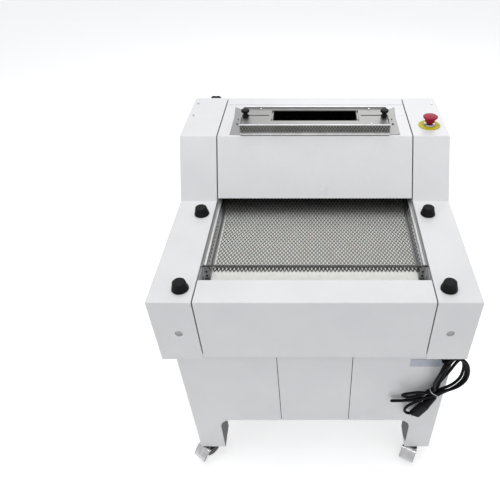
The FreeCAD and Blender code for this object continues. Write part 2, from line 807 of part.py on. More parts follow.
strip_front = f"{hood_rear} + seam_gap"
operator_low = "top_height - operator_drop"
folded("operator_cover", "operator_cover", [
    (strip_front, "top_height"), ("body_depth", "top_height"), ("body_depth", operator_low),
    ("body_depth - sheet", operator_low), ("body_depth - sheet", "top_height - sheet"),
    (strip_front, "top_height - sheet"),
], [[
    (f"{strip_front} + sheet", "top_height - sheet/2"), ("body_depth - sheet/2", "top_height - sheet/2"),
    ("body_depth - sheet/2", operator_low), (f"{strip_front} + sheet", operator_low),
]], lambda edge: at(edge, y=depth_mm, z=top_mm))


# black cover knobs, one turned shape set down four times
knob_body = new_body("cover_knob")
revolve(knob_body, sketch(knob_body, "XZ_Plane", [[
    ("0", "-sheet - lug_thickness - frame_inset"), ("stud_radius", "-sheet - lug_thickness - frame_inset"),
    ("stud_radius", "0"), ("knob_base_radius", "0"), ("knob_base_radius", "0.2*knob_height"),
    ("knob_top_radius", "0.86*knob_height"), ("knob_top_radius - 0.14*knob_height", "knob_height"),
    ("0", "knob_height"),
]]))


def copies(name, source, places):
    """The same piece set down at several places."""
    shapes = []
    for x, y, z in places:
        shape = source.Shape.copy()
        shape.translate(Vector(value(x), value(y), value(z)))
        shapes.append(shape)
    return feature(name, Part.makeCompound(shapes))


node(copies("cover_knob_set", knob_body, [
    (f"{side}*knob_x", knob_y, "shoulder_height")
    for side in ("-1", "1") for knob_y in ("front_knob_y", "rear_knob_y")
]), "cover_knobs")

# round screw heads on the cover tops and the hopper, and plugs in the front holes
screw_body = new_body("screw")
revolve(screw_body, sketch(screw_body, "XZ_Plane", [[
    ("0", "0"), ("screw_radius", "0"), ("0.8*screw_radius", "screw_head"), ("0", "screw_head"),
]]))
screw_places = [
    (f"{side}*screw_x", screw_y, "top_height") for side in ("-1", "1") for screw_y in ("screw_front_y", "screw_rear_y")
]
screws = copies("screw_set", screw_body, screw_places)
plug_set = []
for side in ("-1", "1"):
    plug_set.append(rod("plug", "y", "plug_hole_radius + bend_radius", "2*sheet", f"{side}*plug_x", "sheet + plug_seat",
                        "plug_height"))
node(group("screws_and_plugs", [screws] + plug_set), "cover_screws")

# hopper: a tray with a recessed plate, the feed throat, slots for the guides and side flanges
hopper_body = new_body("hopper")


def rectangle(x0, x1, y0, y1):
    return [(x0, y0), (x1, y0), (x1, y1), (x0, y1)]


hopper_plan = rectangle("-hopper_half_width", "hopper_half_width", "hopper_front_y", "hopper_rear_y")
hopper_in = rectangle("-hopper_half_width + sheet", "hopper_half_width - sheet", "hopper_front_y + sheet",
                      "hopper_rear_y - sheet")
pad(hopper_body, sketch(hopper_body, "XY_Plane", [hopper_plan], offset="top_height"), "hopper_height")
pocket(hopper_body, sketch(hopper_body, "XY_Plane", [hopper_in], offset="top_height + hopper_height"), "hopper_recess")
pocket(hopper_body, sketch(hopper_body, "XY_Plane", [hopper_in], offset="top_height"),
       "hopper_height - hopper_recess - sheet", True)
throat_front = "roll_centre_y - throat_half_depth"
throat_rear = "roll_centre_y + throat_half_depth"
openings = [rectangle("-throat_half_width", "throat_half_width", throat_front, throat_rear)]
slot_outer = "guide_knob_x + slot_half_width"
for start, end in (("slot_inner_x", slot_outer), (f"-({slot_outer})", "-slot_inner_x")):
    openings.append(rectangle(start, end, "roll_centre_y - slot_half_width", "roll_centre_y + slot_half_width"))
pocket(hopper_body, sketch(hopper_body, "XY_Plane", openings, offset=PLATE_TOP), "2*sheet")
chute = [
    rectangle("-hopper_half_width + sheet", "hopper_half_width - sheet", f"{throat_front} - sheet", throat_front),
    rectangle("-hopper_half_width + sheet", "hopper_half_width - sheet", throat_rear, f"{throat_rear} + sheet"),
]
pad(hopper_body, sketch(hopper_body, "XY_Plane", chute, offset="top_height"), "hopper_height - hopper_recess - sheet/2")
flange_plan = [
    rectangle("hopper_half_width - sheet/2", "hopper_half_width + hopper_flange", "hopper_front_y", "hopper_rear_y"),
    rectangle("-hopper_half_width - hopper_flange", "-hopper_half_width + sheet/2", "hopper_front_y", "hopper_rear_y"),
]
pad(hopper_body, sketch(hopper_body, "XY_Plane", flange_plan, offset="top_height"), "sheet")
node(hopper_body, "hopper")


# dough guides that slide inwards under the hopper plate, each with a black knob
def dough_guide(name, side):
    body = new_body(name)
    plate_low = f"{PLATE_TOP} - sheet - guide_clearance"
    inner = f"{side}*(throat_half_width - guide_clearance - sheet)"
    inner_skin = f"{side}*(throat_half_width - guide_clearance - 2*sheet)"
    outer = f"{side}*(hopper_half_width - 2*sheet)"
    strip = rectangle(inner_skin, outer, "roll_centre_y - guide_strip_half", "roll_centre_y + guide_strip_half")
    pad(body, sketch(body, "XY_Plane", [strip], offset=f"{plate_low} - sheet"), "sheet")
    wall = rectangle(inner_skin, inner, f"{throat_front} + guide_clearance", f"{throat_rear} - guide_clearance")
    pad(body, sketch(body, "XY_Plane", [wall], offset="top_height + sheet"), f"{plate_low} - top_height - sheet")
    stud = [(f"{side}*guide_knob_x", "roll_centre_y", "slot_half_width - guide_clearance")]
    pad(body, sketch(body, "XY_Plane", circles=stud, offset=f"{plate_low} - sheet"), "3*sheet + 2*guide_clearance")
    return body


node(dough_guide("guide_left", -1), "left_dough_guide")
node(dough_guide("guide_right", 1), "right_dough_guide")

guide_knob_body = new_body("guide_knob")
revolve(guide_knob_body, sketch(guide_knob_body, "XZ_Plane", [[
    ("0", "0"), ("0.8*guide_knob_radius", "0"), ("0.8*guide_knob_radius", "0.15*guide_knob_height"),
    ("0.6*guide_knob_radius", "0.45*guide_knob_height"), ("guide_knob_radius", "0.75*guide_knob_height"),
    ("guide_knob_radius", "0.92*guide_knob_height"), ("0.9*guide_knob_radius", "guide_knob_height"),
    ("0", "guide_knob_height"),
]]))
stud_top = f"{PLATE_TOP} - 2*sheet - guide_clearance + 3*sheet + 2*guide_clearance"
for side, label in (("-1", "left_guide_knob"), ("1", "right_guide_knob")):
    node(copies(label + "_copy", guide_knob_body, [(f"{side}*guide_knob_x", "roll_centre_y", stud_top)]), label)

# sheeting rolls: the rear ones turn in fixed bearings, the front ones in sliding blocks
GEAR_PITCH = "((roll_diameter + roll_gap)/2)"
UPPER_GEAR = f"(-{FRAME_OUT} - bearing_proud - gear_offset - gear_width)"
LOWER_GEAR = f"({UPPER_GEAR} - gear_step)"
plain_end = f"{FRAME_OUT} + bearing_proud + sheet"
chain_second_x = "chain_first_x + chain_step"
chain_third_x = "chain_first_x + 2*chain_step"
drive_end = f"{chain_third_x} + chain_width + sheet"


def gear_piece(name, tooth_turn, gear_start):
    module = 2*value(GEAR_PITCH)/value("gear_teeth")
    shape = toothed_disc(int(value("gear_teeth")), value(GEAR_PITCH) - 1.2*module, value(GEAR_PITCH) + 0.75*module,
                         value("shaft_radius"), value(gear_start), value("gear_width"))
    shape.rotate(Vector(), Vector(1, 0, 0), tooth_turn)
    return feature(name, shape)


def sprocket(name, radius, start):
    size = value(radius)
    shape = toothed_disc(max(9, int(size*0.6)), size - 3, size, value("shaft_radius"), value(start), value("chain_width"))
    return feature(name, shape)


half_tooth = 180/value("gear_teeth")


def roll(name, label, y, z, turn, gear_start, sprockets=()):
    right_end = drive_end if sprockets else plain_end
    bar = turned_bar(name, [
        (f"{gear_start} - sheet", "-roll_half_length", "shaft_radius"),
        ("-roll_half_length", "roll_half_length", "roll_diameter/2"),
        ("roll_half_length", right_end, "shaft_radius"),
    ])
    pieces = [bar, gear_piece(name + "_gear", turn, gear_start)]
    for radius, start in sprockets:
        pieces.append(sprocket(name + "_sprocket", radius, start))
    return node(group(name + "_set", pieces), label, y=y, z=z)


roll("roll_uf", "upper_front_roll", ROLL_FRONT_Y, UPPER_Z, 0, UPPER_GEAR)
roll("roll_ur", "upper_rear_roll", ROLL_REAR_Y, UPPER_Z, half_tooth, UPPER_GEAR,
     [("roll_sprocket", chain_second_x), ("tail_sprocket", chain_third_x)])
roll("roll_lf", "lower_front_roll", ROLL_FRONT_Y, LOWER_Z, 0, LOWER_GEAR)
roll("roll_lr", "lower_rear_roll", ROLL_REAR_Y, LOWER_Z, half_tooth, LOWER_GEAR, [("tail_sprocket", chain_third_x)])


def roll_blocks(name, label, height):
    pieces = []
    for start in (FRAME_IN, f"-{FRAME_OUT}"):
        body = block(name, start, f"{start} + frame_thickness", f"{ROLL_FRONT_Y} - block_half",
                     f"{ROLL_FRONT_Y} + block_half - block_clearance", f"{height} - block_half", f"{height} + block_half")
        bore = rod(name + "_bore", "x", "shaft_radius + running_clearance", "frame_thickness", start, ROLL_FRONT_Y, height)
        pieces.append(cut(name + "_cut", body, bore))
    return node(group(name + "_pair", pieces), label)


roll_blocks("blocks_upper", "upper_roll_blocks", UPPER_Z)
roll_blocks("blocks_lower", "lower_roll_blocks", LOWER_Z)


# belt drums
def drum(name, label, y, sprockets=()):
    left = f"-{FRAME_OUT} - bearing_proud - sheet"
    right = f"{chain_second_x} + chain_width + sheet" if sprockets else plain_end
    bar = turned_bar(name, [
        (left, "-belt_half_width", "shaft_radius"),
        ("-belt_half_width", "belt_half_width", "drum_diameter/2"),
        ("belt_half_width", right, "shaft_radius"),
    ])
    pieces = [bar] + [sprocket(name + "_sprocket", radius, start) for radius, start in sprockets]
    return node(group(name + "_set", pieces), label, y=y, z=DRUM_Z)


drum("drum_front", "front_drum", "front_drum_y")
drum("drum_rear", "rear_drum", "rear_drum_y", [("drum_sprocket", "chain_first_x"), ("roll_sprocket", chain_second_x)])


def wheel_spot(y, z):
    return (value(y), value(z))


drum_round = value("drum_diameter/2 + running_clearance")
belt_shape = loop_band(wheel_spot("front_drum_y", DRUM_Z), drum_round, wheel_spot("rear_drum_y", DRUM_Z), drum_round,
                       value("belt_thickness"), -value("belt_half_width"), 2*value("belt_half_width"))
node(feature("belt", belt_shape), "conveyor_belt")

# bed under the top run and the curved guide round the front drum
bed_top = f"{BELT_TOP} - belt_thickness - belt_clearance"
bed_front = "front_drum_y + drum_diameter/2 + bed_margin"
bed_rear = "rear_drum_y - drum_diameter/2 - bed_margin"
bed = block("bed", f"-{CENTRE}", CENTRE, bed_front, bed_rear, f"{bed_top} - bed_thickness", bed_top)


def arc_sheet(centre, radius, thickness, first, last, start, width):
    """A curved sheet between two angles about the X axis."""
    def spot(reach, angle):
        turn = math.radians(angle)
        return Vector(start, centre[0] + reach*math.cos(turn), centre[1] + reach*math.sin(turn))

    middle = (first + last)/2
    outer = radius + thickness
    edge = Part.Wire([
        Part.Arc(spot(radius, first), spot(radius, middle), spot(radius, last)).toShape(),
        Part.LineSegment(spot(radius, last), spot(outer, last)).toShape(),
        Part.Arc(spot(outer, last), spot(outer, middle), spot(outer, first)).toShape(),
        Part.LineSegment(spot(outer, first), spot(radius, first)).toShape(),
    ])
    return Part.Face(edge).extrude(Vector(width, 0, 0))


RETURN_FROM = 120
RETURN_TO = 255
guide_round = value("drum_diameter/2 + belt_thickness + return_gap")
guide_half = value(f"{CENTRE} - sheet - seat_gap")
return_guide = feature("return_guide", arc_sheet(
    wheel_spot("front_drum_y", DRUM_Z), guide_round, value("sheet"), RETURN_FROM, RETURN_TO,
    -guide_half, 2*guide_half))
node(group("belt_bed_set", [bed, return_guide]), "belt_bed")

# polished guides beside the belt, standing on feet against the side frames
guide_top = f"({FRAME_TOP} - side_guide_drop)"
side_guide_set = []
for side in (-1, 1):
    guide_body = new_body("side_guide")
    face = f"{side}*side_guide_x"
    back = f"{side}*(side_guide_x + sheet)"
    wall = f"{side}*{CENTRE}"
    angle = [
        (face, bed_top), (wall, bed_top), (wall, f"{bed_top} + sheet"),
        (back, f"{bed_top} + sheet"), (back, guide_top), (face, guide_top),
    ]
    pad(guide_body, sketch(guide_body, "XZ_Plane", [angle], offset=f"-({bed_front})"),
        f"side_guide_rear_y - ({bed_front})", True)
    side_guide_set.append(guide_body)
node(group("side_guide_pair", side_guide_set), "side_guides")

# chrome rods beside the belt, the thin cross rod in front and the hanger of the mesh
rod_x = "(side_guide_x + sheet + rod_radius + seat_gap)"
rod_z = f"({guide_top} - rod_radius)"
rods = [
    rod("side_rod", "y", "rod_radius", f"hanger_y - ({bed_front})", f"{side}*{rod_x}", bed_front, rod_z)
    for side in ("-1", "1")
]
rods.append(rod("cross_rod", "x", "cross_rod_radius", f"2*({CENTRE} + frame_thickness/2)",
                f"-({CENTRE} + frame_thickness/2)", "cross_rod_y", f"{FRAME_TOP} + cross_rod_radius"))
hanger_z = f"({BELT_TOP} + mesh_lift + mesh_thickness + hanger_radius)"
rods.append(rod("hanger_rod", "x", "hanger_radius", f"2*{CENTRE}", f"-{CENTRE}", "hanger_y", hanger_z))
node(group("guard_rods", rods), "guard_rods")

# wire mesh mat: hangs behind the hood edge and lies on the belt
mesh_body = new_body("mesh")
mesh_low = f"{BELT_TOP} + belt_clearance"
pad(mesh_body, sketch(mesh_body, "YZ_Plane", [[
    ("mesh_front_y", mesh_low), ("mesh_touch_y", mesh_low), ("hanger_y", f"{BELT_TOP} + mesh_lift"),
    ("hanger_y", f"{BELT_TOP} + mesh_lift + mesh_thickness - belt_clearance"),
    ("mesh_touch_y", f"{mesh_low} + mesh_thickness"), ("mesh_front_y", f"{mesh_low} + mesh_thickness"),
]], offset="-mesh_half_width"), "2*mesh_half_width")
node(mesh_body, "mesh_mat")

# pressure board under the lower run, on four posts that pass through the deck
CAM_TOP = "(pressure_height + cam_radius + press_clearance)"
board_pieces = [block("board", "-board_half_width", "board_half_width", "board_front_y", "board_rear_y",
                      f"{BOARD_TOP} - board_thickness", BOARD_TOP)]
for side, foot in (("-1", CAM_TOP), ("1", BASE_TOP)):
    for post_y in ("post_front_y", "post_rear_y"):
        board_pieces.append(rod("post", "z", "post_radius", f"{BOARD_TOP} - board_thickness/2 - {foot}",
                                f"{side}*pressure_x", post_y, foot))
node(fuse("board_with_posts", board_pieces), "pressure_board")


# pressure knob with its shaft and two snail cams
def lobed_knob(name, radius, width, start, lobes, shaft, shaft_start):
    """A scalloped hand knob about the Y axis, with its shaft."""
    body = new_body(name)
    revolve(body, sketch(body, "YZ_Plane", [[
        (shaft_start, "0"), (shaft_start, shaft), (start, shaft), (start, f"0.55*{radius}"),
        (f"{start} + 0.25*{width}", f"0.55*{radius}"), (f"{start} + 0.35*{width}", f"0.94*{radius}"),
        (f"{start} + 0.45*{width}", radius), (f"{start} + 0.85*{width}", radius),
        (f"{start} + {width}", f"0.86*{radius}"), (f"{start} + {width}", "0"),
    ]]), "H_Axis")
    scallop = sketch(body, "XZ_Plane", circles=[("0", f"1.16*{radius}", f"0.3*{radius}")],
                     offset=f"-({start} + {width})")
    bite = pocket(body, scallop, f"0.75*{width}", True)
    pattern = body.newObject("PartDesign::PolarPattern", "scallops")
    pattern.Originals = [bite]
    pattern.Axis = (scallop, ["N_Axis"])
    pattern.Angle = 360
    pattern.Occurrences = lobes
    body.Tip = pattern
    doc.recompute()
    return body


KNOB_FACE = f"({BASE_REAR} + pressure_knob_gap)"
LOBES = 8
pressure = lobed_knob("pressure", "pressure_knob_radius", "pressure_knob_width", KNOB_FACE, LOBES,
                      "post_radius", "post_front_y - cam_width")


def snail_cam(start):
    """A rising cam about the Y axis; its low point is uppermost at rest."""
    low = value("cam_radius")
    rise = value("board_lift")
    points = []
    for turn in range(0, 300, 6):
        angle = math.radians(turn)
        reach = low + rise*turn/270
        points.append(Vector(-reach*math.sin(angle), start, reach*math.cos(angle)))
    for turn in range(312, 360, 12):
        angle = math.radians(turn)
        points.append(Vector(-0.9*low*math.sin(angle), start, 0.9*low*math.cos(angle)))
    points.append(points[0])
    width = value("cam_width")
    blank = Part.Face(Part.makePolygon(points)).extrude(Vector(0, width, 0))
    return blank.cut(Part.makeCylinder(value("post_radius"), width, Vector(0, start, 0), Vector(0, 1, 0)))


cams = [feature("cam", snail_cam(value(f"{post_y} - cam_width/2"))) for post_y in ("post_front_y", "post_rear_y")]
node(group("pressure_set", [pressure] + cams), "pressure_knob", x="-pressure_x", z="pressure_height")

# discharge tray on two pins
tray_body = new_body("tray")
tray_panel = [
    (f"-{TRAY_HALF}", "tray_bottom"), (TRAY_HALF, "tray_bottom"), (TRAY_HALF, "tray_top"), (f"-{TRAY_HALF}", "tray_top"),
]
pad(tray_body, sketch(tray_body, "XZ_Plane", [tray_panel], offset="-body_depth"), "sheet")
tray_side = [
    ("body_depth - sheet/2", "tray_bottom"), (f"{TRAY_AXIS_Y} - tray_pin_radius - sheet", "tray_bottom + sheet"),
    (f"{TRAY_AXIS_Y} - tray_pin_radius - sheet", f"{TRAY_AXIS_Z} + tray_pin_radius + sheet"),
    ("body_depth - sheet - tray_lip", "tray_top - tray_lip"), ("body_depth - sheet - tray_lip", "tray_top"),
    ("body_depth - sheet/2", "tray_top"),
]
for start in (f"-{TRAY_HALF}", f"{TRAY_HALF} - sheet"):
    pad(tray_body, sketch(tray_body, "YZ_Plane", [tray_side], offset=start), "sheet")
for side in (-1, 1):
    pin = sketch(tray_body, "YZ_Plane", circles=[(TRAY_AXIS_Y, TRAY_AXIS_Z, "tray_pin_radius")],
                 offset=f"{side}*({TRAY_HALF} - sheet/2)")
    pad(tray_body, pin, f"tray_side_gap + seat_gap + frame_thickness + sheet/2", side < 0)
node(tray_body, "discharge_tray")

# gear motor under the deck with its shaft, motor sprocket and the three chains
gearbox_x1 = "chain_first_x - 3*sheet"
gearbox_x0 = f"{gearbox_x1} - gearbox_half"
gearbox = block("gearbox", gearbox_x0, gearbox_x1, "motor_y - gearbox_half", "motor_y + gearbox_half",
                "motor_height - gearbox_half", BASE_TOP)
motor_can = rod("motor_can", "x", "motor_radius", "motor_length + sheet", f"{gearbox_x0} - motor_length", "motor_y",
                "motor_height")
motor_hole = rod("motor_hole", "x", "shaft_radius + running_clearance", "gearbox_half", gearbox_x0, "motor_y",
                 "motor_height")
motor = cut("motor", fuse("motor_body", [gearbox, motor_can]), motor_hole)
node(motor, "gear_motor")

motor_shaft = turned_bar("motor_shaft", [
    (f"{gearbox_x0} + sheet", "chain_first_x + chain_width + sheet", "shaft_radius"),
])
node(group("motor_sprocket_set", [motor_shaft, sprocket("motor_teeth", "motor_sprocket", "chain_first_x")]),
     "motor_sprocket", y="motor_y", z="motor_height")


def chain(name, first, first_radius, second, second_radius, start):
    slack = value("chain_clearance")
    return feature(name, loop_band(first, value(first_radius) + slack, second, value(second_radius) + slack,
                                   value("chain_thickness"), value(start), value("chain_width")))


drum_spot = wheel_spot("rear_drum_y", DRUM_Z)
upper_spot = wheel_spot(ROLL_REAR_Y, UPPER_Z)
lower_spot = wheel_spot(ROLL_REAR_Y, LOWER_Z)
chain_set = [
    chain("chain_a", wheel_spot("motor_y", "motor_height"), "motor_sprocket", drum_spot, "drum_sprocket", "chain_first_x"),
    chain("chain_b", drum_spot, "roll_sprocket", upper_spot, "roll_sprocket", chain_second_x),
    chain("chain_c", upper_spot, "tail_sprocket", lower_spot, "tail_sprocket", chain_third_x),
]
node(group("chains", chain_set), "drive_chains")

# mushroom stop button on the right cover
stop_base = new_body("stop_base")
revolve(stop_base, sketch(stop_base, "XZ_Plane", [[
    ("stop_stem_radius + press_clearance", "-15*sheet"), ("stop_barrel_radius", "-15*sheet"),
    ("stop_barrel_radius", "0"), ("stop_ring_radius", "0"), ("stop_ring_radius", "sheet"),
    ("stop_collar_radius", "sheet"), ("stop_collar_radius", "3*sheet"),
    ("stop_stem_radius + press_clearance", "3*sheet"),
]]))
node(stop_base, "stop_button_base", x="stop_x", y="stop_y", z="top_height")
stop_head = new_body("stop_head")
revolve(stop_head, sketch(stop_head, "XZ_Plane", [[
    ("0", "-10*sheet"), ("stop_stem_radius", "-10*sheet"), ("stop_stem_radius", "0.4*stop_head_height"),
    ("0.7*stop_head_radius", "0.4*stop_head_height"), ("0.72*stop_head_radius", "0.62*stop_head_height"),
    ("stop_head_radius", "0.78*stop_head_height"), ("stop_head_radius", "0.88*stop_head_height"),
    ("0.8*stop_head_radius", "stop_head_height"), ("0", "stop_head_height"),
]]))
node(stop_head, "stop_button_head", x="stop_x", y="stop_y", z="top_height")


# start and halt buttons in rounded bezels on the operator face
def bezel(name, height):
    body = new_body(name)
    plate = [
        ("button_x - bezel_half", f"{height} - bezel_half"), ("button_x + bezel_half", f"{height} - bezel_half"),
        ("button_x + bezel_half", f"{height} + 0.5*bezel_half"), ("button_x + 0.5*bezel_half", f"{height} + bezel_half"),
        ("button_x - 0.5*bezel_half", f"{height} + bezel_half"), ("button_x - bezel_half", f"{height} + 0.5*bezel_half"),
    ]
    drawn = sketch(body, "XZ_Plane", [plate], [("button_x", height, "button_radius + press_clearance")], "-body_depth")
    pad(body, drawn, "bezel_depth", True)
    return body


node(group("bezels", [bezel("start_bezel", "start_height"), bezel("halt_bezel", "halt_height")]), "button_bezels")
for label, height in (("start_button", "start_height"), ("halt_button", "halt_height")):
    made = rod(label + "_cap", "y", "button_radius", "bezel_depth + button_proud + 2*sheet")
    node(made, label, x="button_x", y="body_depth - 2*sheet", z=height, turn=(Vector(1, 0, 0), -90))

# gap handwheel, with the indicator it passes through
HANDWHEEL_START = "(body_depth + control_reach - handwheel_width)"
handwheel = lobed_knob("handwheel", "handwheel_radius", "handwheel_width", HANDWHEEL_START, LOBES, "handwheel_shaft",
                       "body_depth - 20*sheet")
node(handwheel, "gap_handwheel", x="-handwheel_x", z=UPPER_Z)
indicator_box = block("indicator_box", "-handwheel_x - indicator_half_width", "-handwheel_x + indicator_half_width",
                      "body_depth", "body_depth + indicator_depth", f"{UPPER_Z} - indicator_half_width",
                      f"{UPPER_Z} - indicator_half_width + indicator_height")
indicator_bore = rod("indicator_bore", "y", "handwheel_shaft + running_clearance", "indicator_depth", "-handwheel_x",
                     "body_depth", UPPER_Z)
node(cut("indicator", indicator_box, indicator_bore), "position_indicator")

# gap lever: hub, arm and grip in front of the fixed dial drum
LEVER_ANGLE = 45
lever_hub = rod("lever_hub", "y", "lever_hub_radius", "lever_hub_width", "0", "body_depth + dial_depth + seat_gap", "0")
lever_shaft = rod("lever_shaft", "y", "lever_shaft", "dial_depth + seat_gap + 10*sheet + sheet", "0",
                  "body_depth - 10*sheet", "0")
arm_y = value("body_depth + dial_depth + seat_gap + lever_hub_width/2")
arm_turn = FreeCAD.Rotation(Vector(0, 1, 0), -LEVER_ANGLE)
arm_heading = arm_turn.multVec(Vector(0, 0, 1))


def arm_bar(radius, start, end):
    base = Vector(0, arm_y, 0) + arm_heading*start
    return Part.makeCylinder(radius, end - start, base, arm_heading)


grip_start = value("lever_reach - grip_length")
arm = feature("lever_arm", arm_bar(value("lever_arm_radius"), 0, value("lever_reach - grip_length + 2*sheet")))
lever_solid = fuse("lever_metal", [lever_hub, lever_shaft, arm])
grip_shape = arm_bar(value("grip_radius"), grip_start, value("lever_reach")).cut(
    arm_bar(value("lever_arm_radius"), grip_start, value("lever_reach - grip_length + 2*sheet")))
node(group("lever_set", [lever_solid, feature("lever_grip", grip_shape)]), "gap_lever", x="-lever_x", z="lever_height")

dial = rod("dial", "y", "dial_radius", "dial_depth", "-lever_x", "body_depth", "lever_height")
dial_bore = rod("dial_bore", "y", "lever_shaft + running_clearance", "dial_depth", "-lever_x", "body_depth", "lever_height")
index_plate = rod("index_plate", "y", "index_plate_radius", "2*sheet", "-pressure_x", BASE_REAR, "pressure_height")
index_bore = rod("index_bore", "y", "post_radius + running_clearance", "2*sheet", "-pressure_x", BASE_REAR,
                 "pressure_height")
node(group("dials", [cut("dial_ring", dial, dial_bore), cut("index_ring", index_plate, index_bore)]), "adjuster_dials")

# castors
FORK_IN = "(wheel_width/2 + fork_gap)"
FORK_OUT = f"({FORK_IN} + fork_sheet)"


def cheek_pair(body, outline, hole):
    for offset, flip in ((FORK_IN, False), (f"-({FORK_IN})", True)):
        pad(body, sketch(body, "XZ_Plane", [outline], [hole], offset), "fork_sheet", flip)


def axle_pin(name, x):
    return rod(name, "y", "axle_radius", f"2*({FORK_OUT} + fork_sheet + fork_gap)", x,
               f"-({FORK_OUT} + fork_sheet + fork_gap)", AXLE_Z)


HEAD_LOW = "(castor_plate_height - fork_gap - fork_head_height)"


def swivel_fork(name, label, x, angle):
    body = new_body(name)
    pad(body, sketch(body, "XY_Plane", circles=[("0", "0", "fork_head_radius")], offset=HEAD_LOW), "fork_head_height")
    pad(body, sketch(body, "XY_Plane", circles=[("0", "0", "2*kingpin_radius")], offset=f"{HEAD_LOW} + fork_head_height"),
        "fork_gap")
    pad(body, sketch(body, "XY_Plane", circles=[("0", "0", "kingpin_radius")], offset=f"{HEAD_LOW} + fork_head_height"),
        "fork_gap + castor_plate_thickness")
    outline = [
        ("-0.7*fork_head_radius", f"{HEAD_LOW} + sheet"), ("-0.7*fork_head_radius", f"{HEAD_LOW} - fork_head_height"),
        ("castor_trail - 2*axle_radius", f"{AXLE_Z} - 2*axle_radius"),
        ("castor_trail + 2*axle_radius", f"{AXLE_Z} - 2*axle_radius"),
        ("castor_trail + 2*axle_radius", f"{AXLE_Z} + axle_radius"),
        ("0.7*fork_head_radius", f"{HEAD_LOW} + sheet"),
    ]
    cheek_pair(body, outline, ("castor_trail", AXLE_Z, "axle_radius + running_clearance"))
    made = group(name + "_set", [body, axle_pin(name + "_axle", "castor_trail")])
    return node(made, label, x=x, y=LEG_FRONT_Y, turn=(Vector(0, 0, 1), value(angle)))


swivel_fork("fork_fl", "castor_fork_fl", f"-{LEG_X}", "castor_angle_left")
swivel_fork("fork_fr", "castor_fork_fr", LEG_X, "castor_angle_right")


def rigid_fork(name):
    body = new_body(name)
    pad(body, sketch(body, "XY_Plane", [rectangle(
        "-fork_head_radius", "fork_head_radius", f"-{FORK_OUT}", FORK_OUT)],
        offset="castor_plate_height - fork_head_height"), "fork_head_height")
    outline = [
        ("-0.7*fork_head_radius", "castor_plate_height - fork_head_height + sheet"),
        ("-2*axle_radius", f"{AXLE_Z} - 2*axle_radius"), ("2*axle_radius", f"{AXLE_Z} - 2*axle_radius"),
        ("0.7*fork_head_radius", "castor_plate_height - fork_head_height + sheet"),
    ]
    cheek_pair(body, outline, ("0", AXLE_Z, "axle_radius + running_clearance"))
    return group(name + "_set", [body, axle_pin(name + "_axle", "0")])


rear_fork = rigid_fork("fork_rear")
quarter = FreeCAD.Rotation(Vector(0, 0, 1), 90)
rear_shapes = []
for side in (-1, 1):
    shape = rear_fork.Shape.copy()
    shape.Placement = FreeCAD.Placement(Vector(side*value(LEG_X), value(LEG_REAR_Y), 0), quarter)
    rear_shapes.append(shape)
node(feature("rear_forks", Part.makeCompound(rear_shapes)), "rear_castor_forks")


def castor_wheel(name):
    """A wheel about the Y axis."""
    body = new_body(name)
    half = "wheel_width/2"
    radius = "wheel_diameter/2"
    revolve(body, sketch(body, "YZ_Plane", [[
        (f"-{half}", "axle_radius + running_clearance"), (f"-{half}", "2*axle_radius"),
        (f"-0.8*{half}", "2*axle_radius"), (f"-0.8*{half}", f"0.7*{radius}"), (f"-{half}", f"0.74*{radius}"),
        (f"-{half}", f"0.9*{radius}"), (f"-0.6*{half}", radius), (f"0.6*{half}", radius), (half, f"0.9*{radius}"),
        (half, f"0.74*{radius}"), (f"0.8*{half}", f"0.7*{radius}"), (f"0.8*{half}", "2*axle_radius"),
        (half, "2*axle_radius"), (half, "axle_radius + running_clearance"),
    ]]), "H_Axis")
    return body


def trail_spot(x, angle):
    return f"{x} + castor_trail*cos({angle}*1deg)", f"{LEG_FRONT_Y} + castor_trail*sin({angle}*1deg)"


for corner, x, angle in (("fl", f"-{LEG_X}", "castor_angle_left"), ("fr", LEG_X, "castor_angle_right")):
    wheel_x, wheel_y = trail_spot(x, angle)
    node(castor_wheel("wheel_" + corner), "castor_wheel_" + corner, x=wheel_x, y=wheel_y, z=AXLE_Z,
         turn=(Vector(0, 0, 1), value(angle)))
for corner, x in (("rl", f"-{LEG_X}"), ("rr", LEG_X)):
    node(castor_wheel("wheel_" + corner), "castor_wheel_" + corner, x=x, y=LEG_REAR_Y, z=AXLE_Z,
         turn=(Vector(0, 0, 1), 90))


def brake_pedal(name, label, x, angle):
    """A pedal that turns on the axle outside the fork."""
    body = new_body(name)
    arm_in = f"({FORK_OUT} + fork_gap/2)"
    arm_out = f"({arm_in} + fork_sheet)"
    arm = [
        ("-1.6*axle_radius", "-1.6*axle_radius"), ("1.6*axle_radius", "-1.6*axle_radius"),
        ("pedal_inner + 3*fork_sheet", "0.45*pedal_inner"), ("pedal_inner", "0.68*pedal_inner"),
        ("-1.6*axle_radius", "1.6*axle_radius"),
    ]
    for start, flip in ((arm_in, False), (f"-{arm_in}", True)):
        drawn = sketch(body, "XZ_Plane", [arm], [("0", "0", "axle_radius + running_clearance")], start)
        pad(body, drawn, "fork_sheet", flip)
    foot = [
        ("pedal_inner", "0.68*pedal_inner - fork_sheet"), ("pedal_inner", "0.68*pedal_inner"),
        ("pedal_reach - fork_sheet", "0.2*pedal_inner"), ("pedal_reach", "0.05*pedal_inner"),
        ("pedal_reach - fork_sheet", "0"),
        ("pedal_reach - 2*fork_sheet", "0.2*pedal_inner - fork_sheet"),
    ]
    pad(body, sketch(body, "XZ_Plane", [foot], offset=f"-{arm_out}"), f"2*{arm_out}")
    wheel_x, wheel_y = trail_spot(x, angle)
    return node(body, label, x=wheel_x, y=wheel_y, z=AXLE_Z, turn=(Vector(0, 0, 1), value(angle)))


brake_pedal("pedal_fl", "brake_pedal_fl", f"-{LEG_X}", "castor_angle_left")
brake_pedal("pedal_fr", "brake_pedal_fr", LEG_X, "castor_angle_right")

